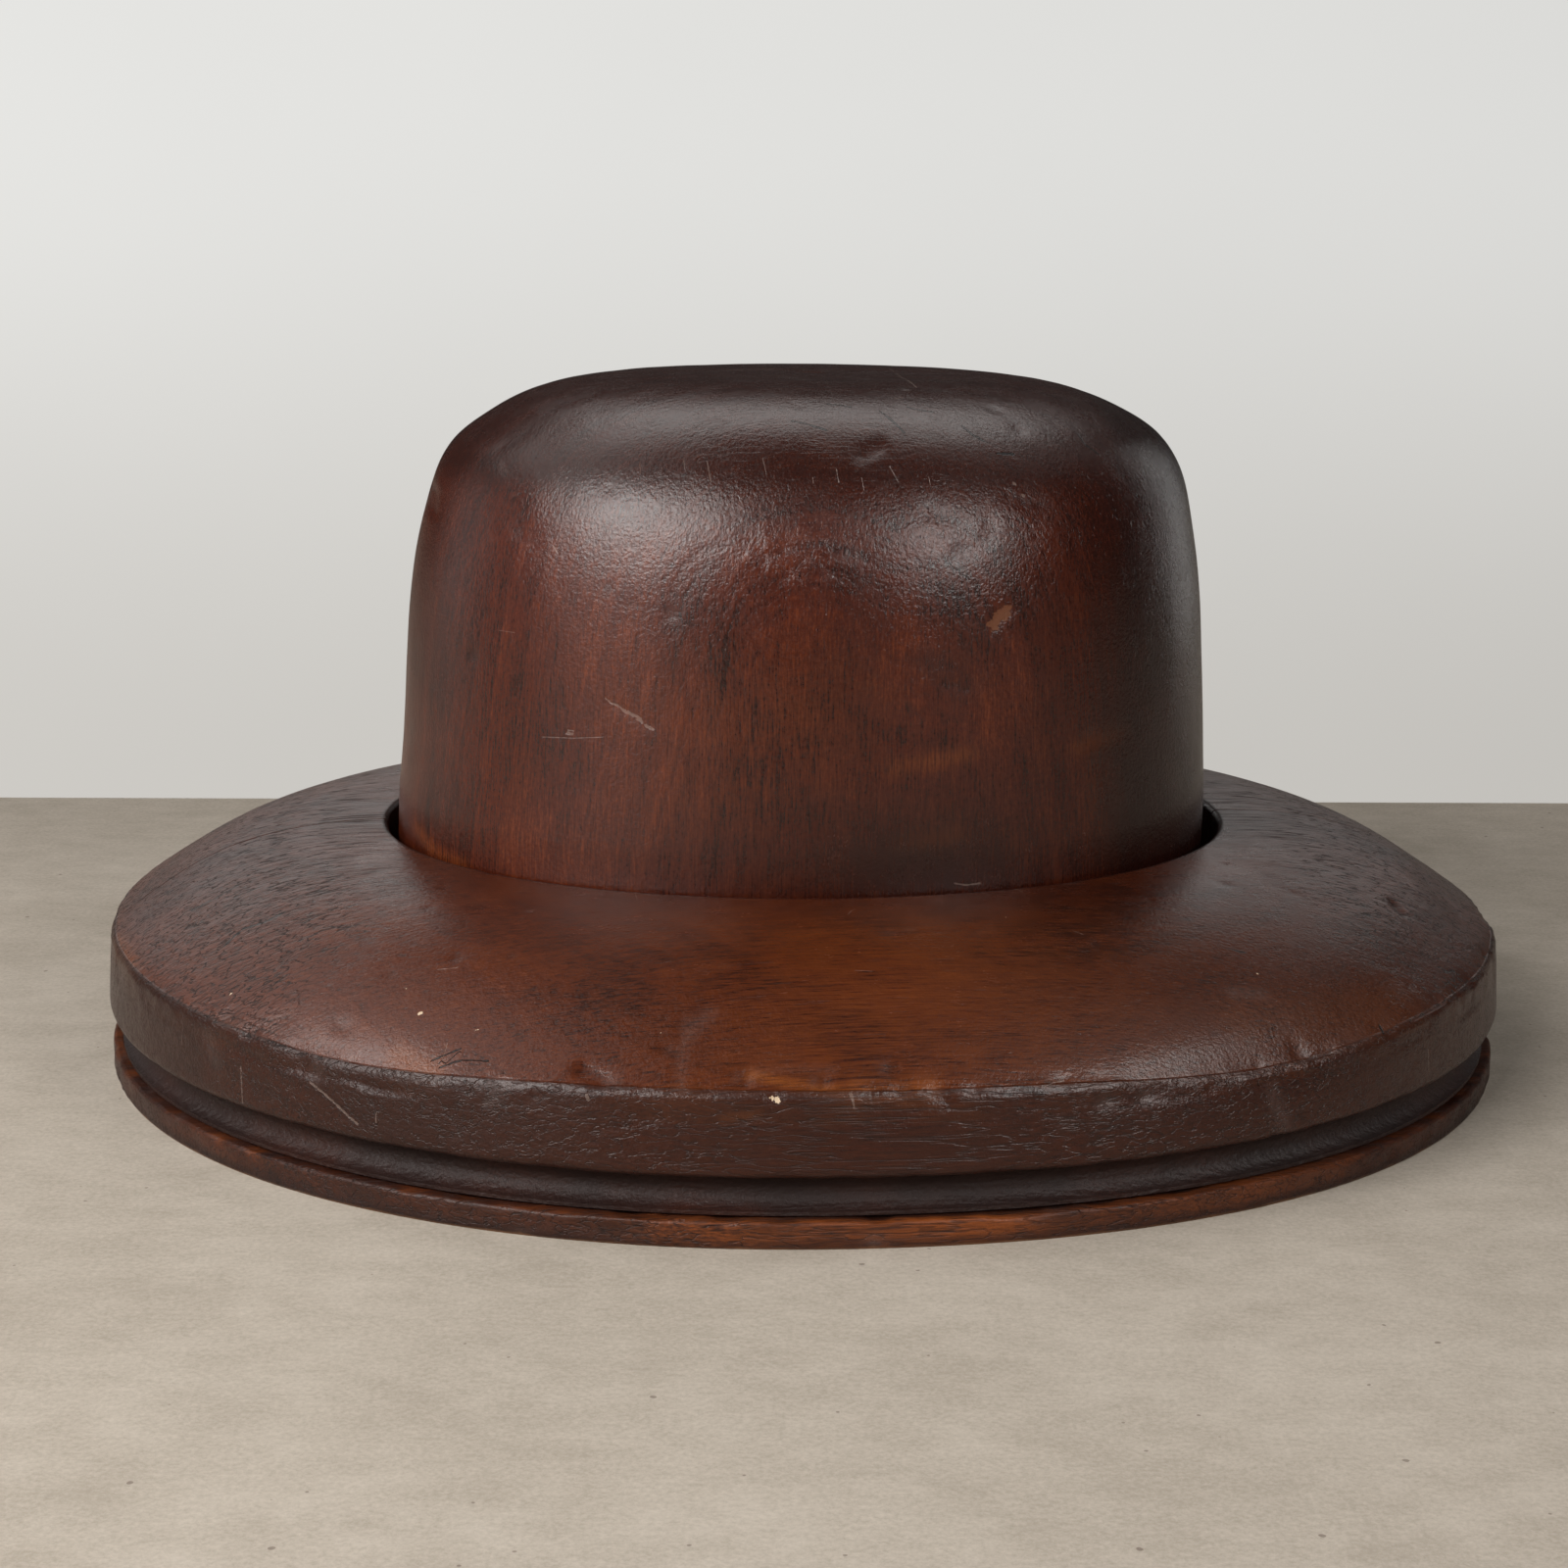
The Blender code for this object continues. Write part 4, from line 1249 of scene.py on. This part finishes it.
for name in ("left_inner", "left_outer", "right_inner", "right_outer"):
    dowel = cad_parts[f"{name}_dowel"]
    dowel.data.materials.clear()
    dowel.data.materials.append(dowel_wood)


def seen_direction(azimuth, elevation):
    """Unit vector at an angle right of the camera's view line and above level."""
    azimuth, elevation = math.radians(azimuth), math.radians(elevation)
    flat = math.cos(elevation)
    return TURNED.to_3x3() @ Vector((
        math.sin(azimuth) * flat, math.cos(azimuth) * flat, math.sin(elevation),
    ))


def plane_object(name, matrix, material):
    mesh = bpy.data.meshes.new(name)
    half = STAGE_SIZE_M / 2
    corners = [(-half, -half, 0), (half, -half, 0), (half, half, 0), (-half, half, 0)]
    mesh.from_pydata(corners, [], [(0, 1, 2, 3)])
    mesh.materials.append(material)
    item = add_object(name, mesh)
    item.matrix_world = matrix
    return item


def floor_material():
    material = bpy.data.materials.new("pale_table")
    shader = Shader(material)
    place = shader.place()
    fields = {
        "smear": shader.noise(shader.stretch(place, (0.7, 1, 1)), 0.09, 5, 0.75),
        "cloud": shader.noise(place, 0.012, 4, 0.65),
        "grit": shader.noise(place, 0.8, 3, 0.8),
    }
    tone = shader.weigh(fields, FLOOR_SHARES)
    base = shader.mix(shader.ramp(tone, 0.32, 0.68), FLOOR_DARK, FLOOR_LIGHT)
    shifted = shader.stretch(place, (1, 1, 1), (40, 9, 0))
    speck = shader.ramp(shader.noise(shifted, 0.36, 0), 0.862, 0.88)
    shader.set("Base Color", shader.mix(shader.times(speck, 0.6), base, FLOOR_SPECK))
    shader.set("Roughness", 0.8)
    shader.set("Specular IOR Level", 0.2)
    return material


def wall_material():
    """Pale wall that only the camera sees, from its front alone, with painted light: darker low
    down and to the right, lighter high up and to the left.
    """
    material = bpy.data.materials.new("pale_wall")
    shader = Shader(material, blank=True)
    place = shader.node("TexCoord")["Object"]
    parts = shader.node("SeparateXYZ", {0: place})
    mottle = shader.times(shader.noise(place, 9, 3), 0.03)
    # Painted light: the wall is brighter to the left and darker to the right.
    level = shader.math("MULTIPLY_ADD", parts[0], -0.2, 1)
    level = shader.math("MINIMUM", shader.math("MAXIMUM", level, 0.7), 1.1)
    tint = shader.mix(shader.ramp(parts[1], 0, WALL_FADE_M), WALL_SHADED_LOW, WALL_LIT_HIGH)
    light = shader.node("Emission", {0: tint, 1: shader.math("ADD", level, mottle)})[0]
    clear = shader.node("BsdfTransparent")[0]
    back = shader.node("NewGeometry")["Backfacing"]
    shader.node("OutputMaterial", {0: shader.node("MixShader", {0: back, 1: light, 2: clear})[0]})
    return material


def build_stage():
    plane_object("floor", TURNED, floor_material())
    wall_place = (
        TURNED @ Matrix.Translation((0, WALL_DISTANCE_M, 0))
        @ Matrix.Rotation(WALL_TURN, 4, "Z") @ Matrix.Rotation(math.pi / 2, 4, "X")
    )
    wall = plane_object("wall", wall_place, wall_material())
    for kind in ("diffuse", "glossy", "transmission", "shadow"):
        setattr(wall, f"visible_{kind}", False)


def build_world():
    world = bpy.data.worlds.new("studio")
    bpy.context.scene.world = world
    shader = Shader(world, blank=True)
    direction = shader.node("TexCoord")["Generated"]
    level = STUDIO_FILL
    for azimuth, elevation, reach, strength in STUDIO_GLOWS:
        axis = tuple(seen_direction(azimuth, elevation))
        facing = shader.vector("DOT_PRODUCT", direction, axis, "Value")
        edge, core = (math.cos(math.radians(reach * share)) for share in (1, GLOW_CORE))
        level = shader.math("MULTIPLY_ADD", shader.ramp(facing, edge, core), strength, level)
    studio = shader.node("Background", {0: STUDIO_COLOUR, 1: level})[0]
    pale = shader.node("Background", {0: BEHIND_COLOUR, 1: BEHIND_LEVEL})[0]
    path = shader.node("LightPath")
    shown = shader.math("MAXIMUM", path["Is Camera Ray"], path["Is Transmission Ray"])
    shader.node("OutputWorld", {0: shader.node("MixShader", {0: shown, 1: studio, 2: pale})[0]})


def build_lamps():
    for name, (azimuth, elevation, *shape, shown_in) in LAMPS.items():
        distance, width, height, level = shape
        place = AIM_M + seen_direction(azimuth, elevation) * distance
        data = bpy.data.lights.new(name, "AREA")
        data.shape = "RECTANGLE"
        data.size, data.size_y = width, height
        data.energy = level * math.pi * width * height
        data.color = LAMP_COLOUR
        lamp = add_object(name, data)
        lamp.location = place
        lamp.rotation_euler = (AIM_M - place).to_track_quat("-Z", "Y").to_euler()
        lamp.visible_camera = False
        lamp.visible_glossy = shown_in != NOWHERE
        if shown_in in (ANYWHERE, NOWHERE):
            continue
        lamp.visible_diffuse = False
        receivers = bpy.data.collections.new(f"{name}_shows_in")
        for piece in shown_in:
            receivers.objects.link(bpy.data.objects[piece])
        lamp.light_linking.receiver_collection = receivers


def build_camera():
    data = bpy.data.cameras.new("camera")
    data.lens = CAMERA_LENS
    data.sensor_width = CAMERA_SENSOR
    data.clip_start = 0.01
    camera = add_object("camera", data)
    camera.matrix_world = (
        TURNED @ Matrix.Translation(CAMERA_PLACE_M)
        @ Matrix.Rotation(math.pi / 2 - CAMERA_PITCH, 4, "X")
        @ Matrix.Rotation(CAMERA_ROLL, 4, "Z")
    )
    bpy.context.scene.camera = camera


build_stage()
build_world()
build_lamps()
build_camera()
bpy.context.scene.view_settings.view_transform = "Standard"
